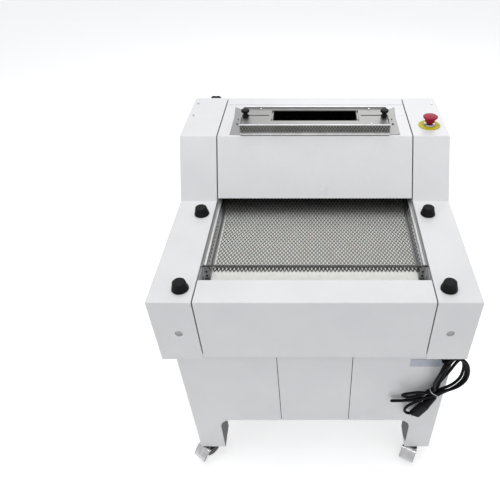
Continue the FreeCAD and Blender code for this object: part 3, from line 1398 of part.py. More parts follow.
# mains cord: gland on the base, a short lead to the tied hank, a lead to the plug
GLAND_END = "(base_setback - gland_length)"
gland_body = rod("gland", "y", "gland_radius", "gland_length", "gland_x", GLAND_END, "gland_height")
gland_bore = rod("gland_hole", "y", "cord_radius + press_clearance", "gland_length", "gland_x", GLAND_END, "gland_height")
node(cut("gland_ring", gland_body, gland_bore), "cord_gland")


def cord_run(name, points):
    """A cord along straight runs joined by tangent arcs."""
    spots = [Vector(*point) for point in points]
    radius = value("cord_radius")
    edges = []
    tightest = None
    last = spots[0]
    for before, corner, after in zip(spots, spots[1:], spots[2:]):
        back = before - corner
        ahead = after - corner
        reach = 0.45*min(back.Length, ahead.Length)
        back.normalize()
        ahead.normalize()
        turn = math.pi - back.getAngle(ahead)
        bend = reach/math.tan(turn/2)
        tightest = bend if tightest is None else min(tightest, bend)
        start = corner + back*reach
        end = corner + ahead*reach
        inward = back + ahead
        inward.normalize()
        centre = corner + inward*(bend/math.cos(turn/2))
        middle = centre - inward*bend
        edges.append(Part.LineSegment(last, start).toShape())
        edges.append(Part.Arc(start, middle, end).toShape())
        last = end
    edges.append(Part.LineSegment(last, spots[-1]).toShape())
    path = Part.Wire(edges)
    section = Part.Wire(Part.makeCircle(radius, spots[0], spots[1] - spots[0]))
    tube = path.makePipeShell([section], True, False)
    expected = math.pi*radius**2*path.Length
    print(f"{name}: length {path.Length:.1f}, tightest bend {tightest:.1f}, volume share {tube.Volume/expected:.3f}")
    return tube


hank_y1 = value("base_setback - hank_clearance")
hank_y0 = value("base_setback - hank_clearance - hank_thickness")
hank_mid = (hank_y0 + hank_y1)/2
shift = value("hank_shift")


hank_unit = value("hank_thickness")/24


def hank_spot(across, up, y=hank_mid):
    """A place on the hank, measured from the gland in the hank's own unit."""
    return Vector(value("gland_x") + across*hank_unit + shift, y, value("gland_height") + up*hank_unit)


def lobe(across, up, long_half, short_half, angle):
    """A flat oval piece of the hank."""
    heading = math.radians(angle)
    along = Vector(math.cos(heading), 0, math.sin(heading))
    centre = hank_spot(across, up, hank_y0)
    aside = Vector(math.cos(heading + math.pi/2), 0, math.sin(heading + math.pi/2))
    oval = Part.Ellipse(centre + along*long_half*hank_unit, centre + aside*short_half*hank_unit, centre)
    return Part.Face(Part.Wire(oval.toShape())).extrude(Vector(0, hank_y1 - hank_y0, 0))


UPPER_LOBE = (25, -56, 72, 36, 66)
LOWER_LOBE = (-66, -172, 74, 27, 42)
WAIST = (-13, -118, 26, 15, 52)
hank_shape = lobe(*UPPER_LOBE).multiFuse([lobe(*LOWER_LOBE), lobe(*WAIST)])
node(feature("hank", hank_shape), "cord_hank")

GLAND_INSIDE = 5
lead_start = Vector(value("gland_x"), value(GLAND_END) + GLAND_INSIDE, value("gland_height"))
lead = cord_run("lead", [
    tuple(lead_start),
    tuple(lead_start + Vector(-1, -44, -8)*hank_unit),
    tuple(lead_start + Vector(13 + shift, -40, -62)*hank_unit),
    tuple(hank_spot(20, -88)),
])
PLUG_ANGLE = 130
plug_heading = FreeCAD.Rotation(Vector(0, 1, 0), PLUG_ANGLE).multVec(Vector(1, 0, 0))
plug_back = hank_spot(-14, -188, hank_mid - 3)
tail_corner = plug_back - plug_heading*34*hank_unit
tail = cord_run("tail", [
    tuple(hank_spot(-10, -112)),
    tuple(tail_corner),
    tuple(plug_back + plug_heading*GLAND_INSIDE),
])
node(feature("cord", Part.makeCompound([lead, tail])), "power_cord")

plug_body = new_body("mains_plug")
PLUG_HALF = "2.6*cord_radius"
pad(plug_body, sketch(plug_body, "XZ_Plane", [[
    ("0", "-1.5*cord_radius"), ("4*cord_radius", "-2.4*cord_radius"), ("11*cord_radius", "-3.3*cord_radius"),
    ("13*cord_radius", "-3.3*cord_radius"), ("13*cord_radius", "3.3*cord_radius"),
    ("11*cord_radius", "3.3*cord_radius"), ("4*cord_radius", "2.4*cord_radius"), ("0", "1.5*cord_radius"),
]], offset=f"-{PLUG_HALF}"), f"2*{PLUG_HALF}")
pin_plan = [
    rectangle("12*cord_radius", "17*cord_radius", "1.4*cord_radius", "1.9*cord_radius"),
    rectangle("12*cord_radius", "17*cord_radius", "-1.9*cord_radius", "-1.4*cord_radius"),
]
pad(plug_body, sketch(plug_body, "XZ_Plane", pin_plan, offset="-0.9*cord_radius"), "1.8*cord_radius")
node(plug_body, "power_plug", x=str(plug_back.x), y=str(plug_back.y), z=str(plug_back.z),
     turn=(Vector(0, 1, 0), PLUG_ANGLE))

doc.recompute()
for made in doc.Objects:
    if "Invalid" in made.State or "Error" in made.State:
        raise RuntimeError(f"{made.Label} did not build: {made.State}")
os.makedirs("parts", exist_ok=True)
for made in NODES:
    shape = made.Shape
    if shape.isNull() or not shape.isValid() or not shape.Solids:
        raise RuntimeError(f"{made.Label} has no valid solid")
    shape.exportStep(f"parts/{made.Label}.step")
    box = shape.BoundBox
    print(f"{made.Label:22s} solids {len(shape.Solids):2d} x {box.XMin:7.1f} {box.XMax:7.1f}"
          f" y {box.YMin:7.1f} {box.YMax:7.1f} z {box.ZMin:7.1f} {box.ZMax:7.1f}")
print(f"{len(NODES)} nodes written")
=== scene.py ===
import json
import math

import bmesh
import bpy
from mathutils import Matrix, Vector


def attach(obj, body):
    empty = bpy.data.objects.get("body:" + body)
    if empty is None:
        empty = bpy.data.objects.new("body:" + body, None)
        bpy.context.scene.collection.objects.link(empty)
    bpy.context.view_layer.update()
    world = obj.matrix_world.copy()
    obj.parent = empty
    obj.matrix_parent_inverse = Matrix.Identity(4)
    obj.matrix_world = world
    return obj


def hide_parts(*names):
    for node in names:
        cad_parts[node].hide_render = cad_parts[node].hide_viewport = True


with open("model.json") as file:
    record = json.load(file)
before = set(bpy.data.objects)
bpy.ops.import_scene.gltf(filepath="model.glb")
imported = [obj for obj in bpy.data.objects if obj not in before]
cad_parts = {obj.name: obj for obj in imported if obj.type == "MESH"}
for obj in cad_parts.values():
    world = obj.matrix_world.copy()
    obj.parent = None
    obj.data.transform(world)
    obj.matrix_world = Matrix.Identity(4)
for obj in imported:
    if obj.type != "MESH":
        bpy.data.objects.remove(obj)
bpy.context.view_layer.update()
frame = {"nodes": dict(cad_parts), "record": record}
NODES = frame["nodes"]

# Places are in millimetres: X to the right, Y back from the front face of the cabinet, Z up from the floor.
MM = 0.001
FRONT_Y = -403.0


def place(x, y, z):
    """A point of the scene, in metres, from a place on the machine."""
    return Vector((x*MM, (y + FRONT_Y)*MM, z*MM))


# camera: the view of the photograph, whose optical middle is off the middle of the frame; in pixels
IMAGE = 500
FOCAL = 506.1
CENTRE_X = 316
CENTRE_Y = 270
CAMERA_SPOT = (3, -756, 1462)
CAMERA_TILT = 41.5
camera_data = bpy.data.cameras.new("camera")
camera_data.sensor_width = 36
camera_data.lens = FOCAL/IMAGE*camera_data.sensor_width
camera_data.shift_x = (IMAGE/2 - CENTRE_X)/IMAGE
camera_data.shift_y = (CENTRE_Y - IMAGE/2)/IMAGE
camera_data.clip_start = 0.05
camera_data.clip_end = 60
camera = bpy.data.objects.new("camera", camera_data)
camera.location = place(*CAMERA_SPOT)
camera.rotation_euler = (math.radians(90 - CAMERA_TILT), 0, 0)
bpy.context.scene.collection.objects.link(camera)
bpy.context.scene.camera = camera


# finishes
COAT_ROUGH = 0.15
TONE_RAMP = (0.3, 0.7)
GRAIN_RANGE = (0.25, 0.75)
RELIEF_DETAIL = 2.0


def material(name, dark, light, grain, rough, metallic=0.0, bump=0.0, bump_grain=None, bump_depth=0.0005,
             coat=0.0, stretch=(1, 1, 1), detail=4.0, specular=0.5):
    """A finish: two close tones in a grain, a roughness that wanders between two values, and fine relief."""
    made = bpy.data.materials.new(name)
    made.use_nodes = True
    tree = made.node_tree
    surface = tree.nodes["Principled BSDF"]
    surface.inputs["Metallic"].default_value = metallic
    surface.inputs["Coat Weight"].default_value = coat
    surface.inputs["Coat Roughness"].default_value = COAT_ROUGH
    surface.inputs["Specular IOR Level"].default_value = specular
    where = tree.nodes.new("ShaderNodeTexCoord")
    scaled = tree.nodes.new("ShaderNodeMapping")
    scaled.inputs["Scale"].default_value = stretch
    tree.links.new(where.outputs["Object"], scaled.inputs["Vector"])
    tone = tree.nodes.new("ShaderNodeTexNoise")
    tone.inputs["Scale"].default_value = grain
    tone.inputs["Detail"].default_value = detail
    tree.links.new(scaled.outputs["Vector"], tone.inputs["Vector"])
    ramp = tree.nodes.new("ShaderNodeValToRGB")
    for element, position, colour in zip(ramp.color_ramp.elements, TONE_RAMP, (dark, light)):
        element.position = position
        element.color = (*colour, 1)
    tree.links.new(tone.outputs["Fac"], ramp.inputs["Fac"])
    tree.links.new(ramp.outputs["Color"], surface.inputs["Base Color"])
    spread = tree.nodes.new("ShaderNodeMapRange")
    spread.inputs["From Min"].default_value = GRAIN_RANGE[0]
    spread.inputs["From Max"].default_value = GRAIN_RANGE[1]
    spread.inputs["To Min"].default_value = rough[0]
    spread.inputs["To Max"].default_value = rough[1]
    tree.links.new(tone.outputs["Fac"], spread.inputs["Value"])
    tree.links.new(spread.outputs["Result"], surface.inputs["Roughness"])
    if bump:
        relief = tree.nodes.new("ShaderNodeTexNoise")
        relief.inputs["Scale"].default_value = bump_grain
        relief.inputs["Detail"].default_value = RELIEF_DETAIL
        tree.links.new(scaled.outputs["Vector"], relief.inputs["Vector"])
        raised = tree.nodes.new("ShaderNodeBump")
        raised.inputs["Strength"].default_value = bump
        raised.inputs["Distance"].default_value = bump_depth
        tree.links.new(relief.outputs["Fac"], raised.inputs["Height"])
        tree.links.new(raised.outputs["Normal"], surface.inputs["Normal"])
    return made


WEAVE_SCALE = 0.314
WEAVE_WANDER = 0.6
WEAVE_STRENGTH = 0.7


def woven(name, dark, light, pitch, rough, depth):
    """Cloth with a square weave of ribs along both directions."""
    made = material(name, dark, light, 60, rough, detail=6)
    tree = made.node_tree
    surface = tree.nodes["Principled BSDF"]
    where = [item for item in tree.nodes if item.type == "TEX_COORD"][0]
    height = None
    for direction in ("X", "Y"):
        wave = tree.nodes.new("ShaderNodeTexWave")
        wave.bands_direction = direction
        wave.inputs["Scale"].default_value = WEAVE_SCALE/pitch
        wave.inputs["Distortion"].default_value = WEAVE_WANDER
        tree.links.new(where.outputs["Object"], wave.inputs["Vector"])
        if height is None:
            height = wave.outputs["Fac"]
            continue
        joined = tree.nodes.new("ShaderNodeMath")
        joined.operation = "MULTIPLY"
        tree.links.new(height, joined.inputs[0])
        tree.links.new(wave.outputs["Fac"], joined.inputs[1])
        height = joined.outputs["Value"]
    raised = tree.nodes.new("ShaderNodeBump")
    raised.inputs["Strength"].default_value = WEAVE_STRENGTH
    raised.inputs["Distance"].default_value = depth
    tree.links.new(height, raised.inputs["Height"])
    tree.links.new(raised.outputs["Normal"], surface.inputs["Normal"])
    return made


WHITE = material("white_powder_coat", (0.79, 0.79, 0.805), (0.83, 0.83, 0.84), 9, (0.28, 0.38), bump=0.5,
                 bump_grain=330, bump_depth=0.0007)
HOOD = material("hood_powder_coat", (0.79, 0.79, 0.805), (0.83, 0.83, 0.84), 9, (0.26, 0.34), bump=0.8,
                bump_grain=240, bump_depth=0.0009)
GREY = material("frame_grey", (0.33, 0.335, 0.34), (0.40, 0.405, 0.41), 18, (0.4, 0.55), bump=0.2,
                bump_grain=500)
STAINLESS = material("stainless", (0.26, 0.26, 0.258), (0.345, 0.345, 0.34), 34, (0.34, 0.5), metallic=0.85,
                     bump=0.06, bump_grain=300, stretch=(1, 22, 22))
POLISHED = material("polished_stainless", (0.27, 0.27, 0.265), (0.33, 0.33, 0.325), 25, (0.004, 0.012),
                    metallic=1.0)
CHROME = material("chrome", (0.42, 0.42, 0.43), (0.52, 0.52, 0.53), 40, (0.06, 0.16), metallic=1.0)
STEEL = material("machined_steel", (0.36, 0.36, 0.36), (0.48, 0.48, 0.48), 60, (0.28, 0.45), metallic=1.0,
                 bump=0.1, bump_grain=400)
WIRE = material("mesh_wire", (0.045, 0.045, 0.045), (0.09, 0.09, 0.088), 70, (0.3, 0.42), metallic=0.9)
BLACK = material("black_plastic", (0.006, 0.006, 0.007), (0.012, 0.012, 0.013), 60, (0.42, 0.6), bump=0.15,
                 bump_grain=900, specular=0.1)
RUBBER = material("cord_rubber", (0.002, 0.002, 0.003), (0.005, 0.005, 0.006), 80, (0.36, 0.5), bump=0.1,
                  bump_grain=700, specular=0.08)
ROLLS = material("roll_coating", (0.004, 0.004, 0.004), (0.009, 0.009, 0.010), 30, (0.6, 0.75), specular=0.0)
BELT = woven("belt_cloth", (0.82, 0.82, 0.77), (0.90, 0.90, 0.86), 0.0036, (0.7, 0.85), 0.0006)
RED = material("red_plastic", (0.31, 0.005, 0.034), (0.39, 0.008, 0.044), 40, (0.38, 0.5), specular=0.2)
YELLOW = material("yellow_plastic", (0.54, 0.48, 0.014), (0.64, 0.57, 0.026), 60, (0.4, 0.55), specular=0.2)
GREEN = material("green_plastic", (0.008, 0.24, 0.05), (0.015, 0.33, 0.08), 40, (0.25, 0.4), coat=0.3)
ORANGE = material("indicator_red", (0.55, 0.03, 0.015), (0.66, 0.06, 0.03), 40, (0.3, 0.45), coat=0.2)
TYRE = material("wheel_grey", (0.09, 0.09, 0.092), (0.15, 0.15, 0.152), 90, (0.5, 0.7), bump=0.2,
                bump_grain=800)
MOTOR = material("motor_paint", (0.09, 0.11, 0.14), (0.14, 0.16, 0.19), 25, (0.35, 0.5), bump=0.15,
                 bump_grain=400)
PLATE = material("plate_grey", (0.36, 0.39, 0.45), (0.47, 0.50, 0.56), 45, (0.35, 0.5), metallic=0.4)
WIRE_TIE = material("tie_white", (0.70, 0.70, 0.70), (0.84, 0.84, 0.83), 200, (0.35, 0.5))
DARK_STEEL = material("dark_steel", (0.05, 0.05, 0.05), (0.1, 0.1, 0.1), 60, (0.35, 0.5), metallic=0.6)
# painted shade: the grey of the dishes in the front holes
DENT_SHADE = material("recess_painted_shade", (0.42, 0.42, 0.43), (0.52, 0.52, 0.53), 120, (0.5, 0.65))
# painted shade behind the base seams, and the dark joint of the hopper, share this black
JOINT_AND_SEAM_SHADE = material("joint_and_seam_shade_black", (0.012, 0.012, 0.012), (0.03, 0.03, 0.03), 90, (0.7, 0.9))
ZINC = material("zinc_plate", (0.40, 0.40, 0.40), (0.52, 0.52, 0.51), 55, (0.45, 0.6), metallic=0.35)
ROD = material("dull_rod", (0.05, 0.05, 0.05), (0.10, 0.10, 0.098), 60, (0.3, 0.45), metallic=0.7)
BRIGHT_ROD = material("bright_rod", (0.58, 0.58, 0.58), (0.68, 0.68, 0.68), 60, (0.18, 0.28), metallic=0.5)
MIRROR = material("side_mirror", (0.24, 0.24, 0.235), (0.30, 0.30, 0.295), 25, (0.03, 0.07), metallic=1.0)
# painted shade: the dark of the legs' inner faces
LEG_SHADE = material("leg_painted_shade", (0.07, 0.07, 0.072), (0.11, 0.11, 0.112), 40, (0.5, 0.65))
# painted shade: the black of the throat sheet and of the lug holes
SHADE_BLACK = material("painted_shade_black", (0.0012, 0.0012, 0.0012), (0.003, 0.003, 0.003), 50, (0.8, 0.95),
                specular=0.0)

# the finish of each material of the record, nodes with one of their own, and the rounding of edges
SLOT_FINISH = {
    "white_paint": WHITE, "frame_paint": GREY, "stainless": STAINLESS, "chrome": CHROME, "steel": STEEL,
    "roll_plastic": ROLLS, "black_plastic": BLACK, "belt_fabric": BELT, "motor_paint": MOTOR,
    "yellow_plastic": YELLOW, "red_plastic": RED, "green_plastic": GREEN, "bezel_plastic": BLACK,
    "indicator_plastic": ORANGE, "wheel_rubber": TYRE, "cord_rubber": RUBBER,
}
NODE_FINISH = {
    "side_guides": MIRROR, "hood": HOOD, "castor_fork_fl": DARK_STEEL, "castor_fork_fr": DARK_STEEL,
}
EDGE = {
    "white_paint": 1.3, "frame_paint": 0.6, "stainless": 0.5, "chrome": 0.7, "black_plastic": 1.2,
    "steel": 0.5, "motor_paint": 2.0, "yellow_plastic": 0.6, "red_plastic": 1.5, "green_plastic": 1.2,
    "bezel_plastic": 2.5, "indicator_plastic": 3.5, "wheel_rubber": 1.0,
}
WELD_REACH = 0.00002


def soften(obj, width, angle=32, segments=3):
    """Round the hard edges by a small width, without moving any face."""
    with bpy.context.temp_override(object=obj, active_object=obj, selected_objects=[obj]):
        bpy.ops.mesh.customdata_custom_splitnormals_clear()
    obj.data.shade_smooth()
    weld = obj.modifiers.new("weld", "WELD")
    weld.merge_threshold = WELD_REACH
    bevel = obj.modifiers.new("edges", "BEVEL")
    bevel.width = width*MM
    bevel.segments = segments
    bevel.limit_method = "ANGLE"
    bevel.angle_limit = math.radians(angle)
    bevel.harden_normals = True
    bevel.use_clamp_overlap = True


for item in frame["record"]["subparts"]:
    node = NODES[item["node"]]
    slot = item["material_slot"]
    node.data.materials.clear()
    node.data.materials.append(NODE_FINISH.get(item["node"], SLOT_FINISH[slot]))
    if slot in EDGE:
        soften(node, EDGE[slot])


# shapes
def new_piece(name, verts, faces, finish, body, slot, replaces=(), angle=40):
    """A modelled piece that moves with one body of the machine."""
    mesh = bpy.data.meshes.new(name)
    mesh.from_pydata([tuple(v) for v in verts], [], faces)
    mesh.validate()
    shape = bmesh.new()
    shape.from_mesh(mesh)
    bmesh.ops.recalc_face_normals(shape, faces=shape.faces)
    shape.to_mesh(mesh)
    shape.free()
    mesh.materials.append(finish)
    mesh.shade_smooth()
    mesh.set_sharp_from_angle(angle=math.radians(angle))
    obj = bpy.data.objects.new(name, mesh)
    bpy.context.scene.collection.objects.link(obj)
    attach(obj, body)
    if replaces:
        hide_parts(*replaces)
    return obj


def skin_faces(rings, around):
    """Faces of a closed skin over rings of points, with a cap at each end."""
    faces = []
    for ring in range(rings - 1):
        near = ring*around
        far = near + around
        for step in range(around):
            after = (step + 1) % around
            faces.append([near + step, near + after, far + after, far + step])
    last = (rings - 1)*around
    faces.append(list(range(around))[::-1])
    faces.append([last + step for step in range(around)])
    return faces


class Build:
    """Collects vertices and faces of several simple shapes into one piece."""

    def __init__(self):
        self.verts = []
        self.faces = []

    def add(self, verts, faces):
        start = len(self.verts)
        self.verts += verts
        self.faces += [[start + index for index in face] for face in faces]

    def lathe(self, profile, origin, axis="z", segments=48):
        """Turn (radius, height) steps about an axis through origin; heights in millimetres."""
        verts = []
        for radius, height in profile:
            for step in range(segments):
                angle = 2*math.pi*step/segments
                a = radius*math.cos(angle)*MM
                b = radius*math.sin(angle)*MM
                h = height*MM
                local = {"x": (h, a, b), "y": (b, h, a), "z": (a, b, h)}[axis]
                verts.append(origin + Vector(local))
        self.add(verts, skin_faces(len(profile), segments))

    def tube(self, points, radius, sides=12):
        """A round bar along points, in metres."""
        verts = []
        count = len(points)
        normal = None
        for index, point in enumerate(points):
            ahead = points[min(index + 1, count - 1)] - points[max(index - 1, 0)]
            ahead.normalize()
            if normal is None:
                normal = ahead.orthogonal().normalized()
            normal = (normal - ahead*normal.dot(ahead)).normalized()
            other = ahead.cross(normal)
            for side in range(sides):
                angle = 2*math.pi*side/sides
                verts.append(point + (normal*math.cos(angle) + other*math.sin(angle))*radius*MM)
        self.add(verts, skin_faces(count, sides))

    def slab(self, outline, depth):
        """A plate: an outline of points in metres pushed along depth."""
        count = len(outline)
        verts = list(outline) + [point + depth for point in outline]
        faces = [list(range(count))[::-1], [count + index for index in range(count)]]
        for index in range(count):
            after = (index + 1) % count
            faces.append([index, after, count + after, count + index])
        self.add(verts, faces)

    def piece(self, name, finish, body, slot, **more):
        return new_piece(name, self.verts, self.faces, finish, body, slot, **more)


def arc(centre, radius, start, end, steps):
    """Profile points on an arc, in (radius, height) steps; angles in degrees."""
    points = []
    for step in range(steps + 1):
        angle = math.radians(start + (end - start)*step/steps)
        points.append((centre[0] + radius*math.cos(angle), centre[1] + radius*math.sin(angle)))
    return points


def upright(left, right, y, low, high):
    """Corners of an upright rectangle that faces the front."""
    return [place(left, y, low), place(right, y, low), place(right, y, high), place(left, y, high)]


# woven wire mat: flattened spirals side by side, each hooked through the next
BELT_TOP = 655.2
MAT_CENTRE = 2.0
MAT_HALF = 243.0
HEM_HALF = 247.0
MAT_FRONT = 149.0
MAT_LIFT_FROM = 318.0
MAT_BACK = 438.0
MAT_BACK_Z = 692.0
SPIRAL_PITCH = 9.35
ROW_PITCH = 7.75
WIRE_RADIUS = 0.66
WIRE_LIFT = 0.75
WIRE_SIDES = 5
TURN_STEPS = 10
SPIRAL_REACH = 0.66*ROW_PITCH
FIRST_ROW = MAT_FRONT + 4
HEM_ROWS = 2
RISE_POWER = 1.7


def mat_height(y):
    """Height of the mat's middle over the floor: flat on the belt, then rising to its hanger."""
    flat = BELT_TOP + WIRE_LIFT + WIRE_RADIUS
    share = max(0.0, (y - MAT_LIFT_FROM)/(MAT_BACK - MAT_LIFT_FROM))
    return flat + (MAT_BACK_Z - flat)*share**RISE_POWER


def wire_mat():
    """The whole mat, with extra rows between the first ones for its hem."""
    made = Build()
    rows = int((MAT_BACK - MAT_FRONT)/ROW_PITCH)
    starts = [FIRST_ROW + row*ROW_PITCH for row in range(rows + 1)]
    starts += [FIRST_ROW + (row + 0.5)*ROW_PITCH for row in range(HEM_ROWS)]
    for row, middle in enumerate(starts):
        shift = 0.5 if row % 2 else 0.0
        half = HEM_HALF if middle < FIRST_ROW + HEM_ROWS*ROW_PITCH else MAT_HALF
        turns = round(2*half/SPIRAL_PITCH)
        height = mat_height(middle)
        lean = mat_height(middle + 1) - mat_height(middle)
        points = []
        for step in range(turns*TURN_STEPS + 1):
            angle = 2*math.pi*(step/TURN_STEPS + shift)
            along = SPIRAL_REACH*math.cos(angle)
            x = MAT_CENTRE - half + 2*half*step/(turns*TURN_STEPS)
            points.append(place(x, middle + along, height + lean*along + WIRE_LIFT*math.sin(angle)))
        made.tube(points, WIRE_RADIUS, WIRE_SIDES)
    return made.piece("mesh_mat_wires", WIRE, "cabinet", "stainless", replaces=["mesh_mat"], angle=180)


def paint_shade_to_rear(finish, start, end, share):
    """Paint shade into a finish: darker along Y, between two places, to a share of its tone."""
    tree = finish.node_tree
    surface = tree.nodes["Principled BSDF"]
    tone = surface.inputs["Base Color"].links[0].from_socket
    where = [item for item in tree.nodes if item.type == "TEX_COORD"][0]
    split = tree.nodes.new("ShaderNodeSeparateXYZ")
    tree.links.new(where.outputs["Object"], split.inputs["Vector"])
    fade = tree.nodes.new("ShaderNodeMapRange")
    fade.inputs["From Min"].default_value = (start + FRONT_Y)*MM
    fade.inputs["From Max"].default_value = (end + FRONT_Y)*MM
    fade.inputs["To Min"].default_value = 1.0
    fade.inputs["To Max"].default_value = share
    tree.links.new(split.outputs["Y"], fade.inputs["Value"])
    scaled = tree.nodes.new("ShaderNodeVectorMath")
    scaled.operation = "SCALE"
    tree.links.new(tone, scaled.inputs["Vector"])
    tree.links.new(fade.outputs["Result"], scaled.inputs["Scale"])
    tree.links.new(scaled.outputs["Vector"], surface.inputs["Base Color"])


# painted shade on the mat and the belt towards the rolls, where the hood shades them
WIRE_HOOD_SHADE = (340, 425, 0.12)
BELT_HOOD_SHADE = (360, 430, 0.3)
paint_shade_to_rear(WIRE, *WIRE_HOOD_SHADE)
paint_shade_to_rear(BELT, *BELT_HOOD_SHADE)
wire_mat()

# rubbery knobs on the shoulders
SHOULDER_TOP = 700
COVER_KNOB_X = 293
COVER_KNOB_Y = (43, 325)
profile = [(18.2, 0.3)] + arc((17.6, 1.8), 1.5, -60, 20, 4) + [(18.4, 4.5)]
profile += [(14.6, 19.0)] + arc((12.4, 19.4), 2.2, 10, 90, 5)
profile += [(9.0, 21.9), (0.4, 22.0)]
knobs = Build()
for knob_x in (-COVER_KNOB_X, COVER_KNOB_X):
    for knob_y in COVER_KNOB_Y:
        knobs.lathe(profile, place(knob_x, knob_y, SHOULDER_TOP))
knobs.piece("cover_knob_tops", BLACK, "cabinet", "black_plastic", replaces=["cover_knobs"], angle=50)

# knobs of the two dough guides: a waist between two flanges
GUIDE_KNOB = (188, 552, 862.4)
profile = [(8.6, 0.0), (9.0, 0.8), (9.0, 3.4), (8.4, 4.4), (6.3, 6.0), (5.7, 8.2), (6.2, 10.6)]
profile += [(8.9, 12.8), (10.4, 13.6), (11.0, 14.8), (11.0, 17.8)] + arc((9.4, 17.9), 1.6, 10, 90, 4)
profile += [(4, 19.9), (0.3, 20.0)]
for side, body, node in ((-1, "guide_left", "left_guide_knob"), (1, "guide_right", "right_guide_knob")):
    knob = Build()
    knob.lathe(profile, place(GUIDE_KNOB[0]*side, *GUIDE_KNOB[1:]), segments=40)
    knob.piece(node + "_turned", BLACK, body, "black_plastic", replaces=[node], angle=50)

# hopper trim: leaning polished skins front and back, round bars along their feet and rolled rims
HOPPER_HALF = 197
HOPPER_TOP = 860
HOPPER_WALLS = ((497, -1, 6.4, 866.2), (611, 1, 2.6, 863.4))
SKIN_FOOT = 837.2
SKIN_SHEET = 0.3
SKIN_GAP = 0.4
RIM_SETBACK = 1.2
FOOT_BAR_Z = 839.4
FOOT_BAR_OUT = 4.0
FOOT_BAR_RADIUS = 2.9
RIM_RADIUS = 1.9
BAR_HALF = HOPPER_HALF + 1.5
skins = Build()
bars = Build()
for wall_y, outward, lean, rim in HOPPER_WALLS:
    foot_y = wall_y + SKIN_GAP*outward
    head_y = wall_y + lean*outward
    head_z = rim - RIM_SETBACK
    skins.slab([
        place(-HOPPER_HALF, foot_y, SKIN_FOOT), place(HOPPER_HALF, foot_y, SKIN_FOOT),
        place(HOPPER_HALF, head_y, head_z), place(-HOPPER_HALF, head_y, head_z),
    ], Vector((0, SKIN_SHEET*outward*MM, 0)))
    foot_bar = (FOOT_BAR_Z, wall_y + FOOT_BAR_OUT*outward, FOOT_BAR_RADIUS)
    rim_bar = (rim, wall_y + (lean - 1)*outward, RIM_RADIUS)
    for height, bar_y, radius in (foot_bar, rim_bar):
        bars.tube([place(-BAR_HALF, bar_y, height), place(BAR_HALF, bar_y, height)], radius, 14)
skins.piece("hopper_skins", POLISHED, "cabinet", "stainless")
bars.piece("hopper_bars", CHROME, "cabinet", "chrome")

# end plates running back from the flanges, and the dark joint behind the front rim
WING_Z = 836.3
WING_SHEET = 1.75
WING_LINE = ((228, 604), (232.5, 668), (214, 655), (203, 640), (203, 604))
wings = Build()
for side in (-1, 1):
    wings.slab([place(x*side, y, WING_Z) for x, y in WING_LINE], Vector((0, 0, WING_SHEET*MM)))
wings.piece("hopper_end_plates", STAINLESS, "cabinet", "stainless")
JOINT_HALF = 196
JOINT_NEAR = 499.2
JOINT_FAR = 502
JOINT_Z = HOPPER_TOP + 0.05
JOINT_SHEET = 0.2
joint = Build()
joint.slab([
    place(-JOINT_HALF, JOINT_NEAR, JOINT_Z), place(JOINT_HALF, JOINT_NEAR, JOINT_Z),
    place(JOINT_HALF, JOINT_FAR, JOINT_Z), place(-JOINT_HALF, JOINT_FAR, JOINT_Z),
], Vector((0, 0, JOINT_SHEET*MM)))
joint.piece("hopper_joint", JOINT_AND_SEAM_SHADE, "cabinet", "black_plastic")

# painted shade: a black sheet in the throat under the slot, for the shade inside it
THROAT_SHADE_HALF = 118
THROAT_SHADE_Y = 597.4
THROAT_SHADE_Z = (832.4, 857)
THROAT_SHADE_SHEET = 0.3
throat_shade = Build()
throat_shade.slab(upright(-THROAT_SHADE_HALF, THROAT_SHADE_HALF, THROAT_SHADE_Y, *THROAT_SHADE_Z), Vector((0, THROAT_SHADE_SHEET*MM, 0)))
throat_shade.piece("throat_shade_sheet", SHADE_BLACK, "cabinet", "black_plastic")

# bright nuts on the hopper's plate and dark screws on its flanges
NUT_X = 151
NUT_Y = (510, 603)
NUT_PROFILE = [(3.8, 0), (3.8, 1.4), (2.8, 3.0), (0.3, 3.2)]
SCREW_X = 215
SCREW_Z = 838
SCREWS = ((557, 3.4), (586, 2.0))
screws = Build()
bright = Build()
for side in (-1, 1):
    for nut_y in NUT_Y:
        bright.lathe(NUT_PROFILE, place(NUT_X*side, nut_y, HOPPER_TOP), segments=20)
    for screw_y, radius in SCREWS:
        profile = [(radius, 0), (radius, 1.0), (0.7*radius, 2.0), (0.3, 2.2)]
        screws.lathe(profile, place(SCREW_X*side, screw_y, SCREW_Z), segments=20)
bright.piece("hopper_nuts", CHROME, "cabinet", "chrome")
screws.piece("hopper_screws", DARK_STEEL, "cabinet", "steel")

# mushroom stop button on its yellow ring
STOP_SPOT = place(315, 553, 836)
ring = Build()
profile = [(30, 0), (30, 1.2), (29.2, 2.0), (14.4, 2.0), (14.0, 2.4), (14.0, 5.4), (13.2, 6.0), (8.4, 6.0)]
ring.lathe(profile, STOP_SPOT, segments=64)
ring.piece("stop_button_ring", YELLOW, "cabinet", "yellow_plastic", replaces=["stop_button_base"], angle=40)
collar = Build()
profile = [(15.4, 2.05), (15.4, 5.0), (14.6, 6.2), (8.6, 6.4), (8.6, 2.1)]
collar.lathe(profile, STOP_SPOT, segments=48)
collar.piece("stop_button_collar", STEEL, "cabinet", "steel")
head = Build()
profile = [(8.0, -19), (8.0, 11.6), (13.4, 11.9), (13.8, 12.6), (13.9, 18.2), (14.8, 20.2), (17.6, 21.9)]
profile += [(19.4, 23.0)] + arc((17.7, 25.2), 2.3, -20, 80, 6) + [(12, 28.4), (6, 29.3), (0.4, 29.6)]
head.lathe(profile, STOP_SPOT, segments=56)
head.piece("stop_button_mushroom", RED, "stop_head", "red_plastic", replaces=["stop_button_head"], angle=60)

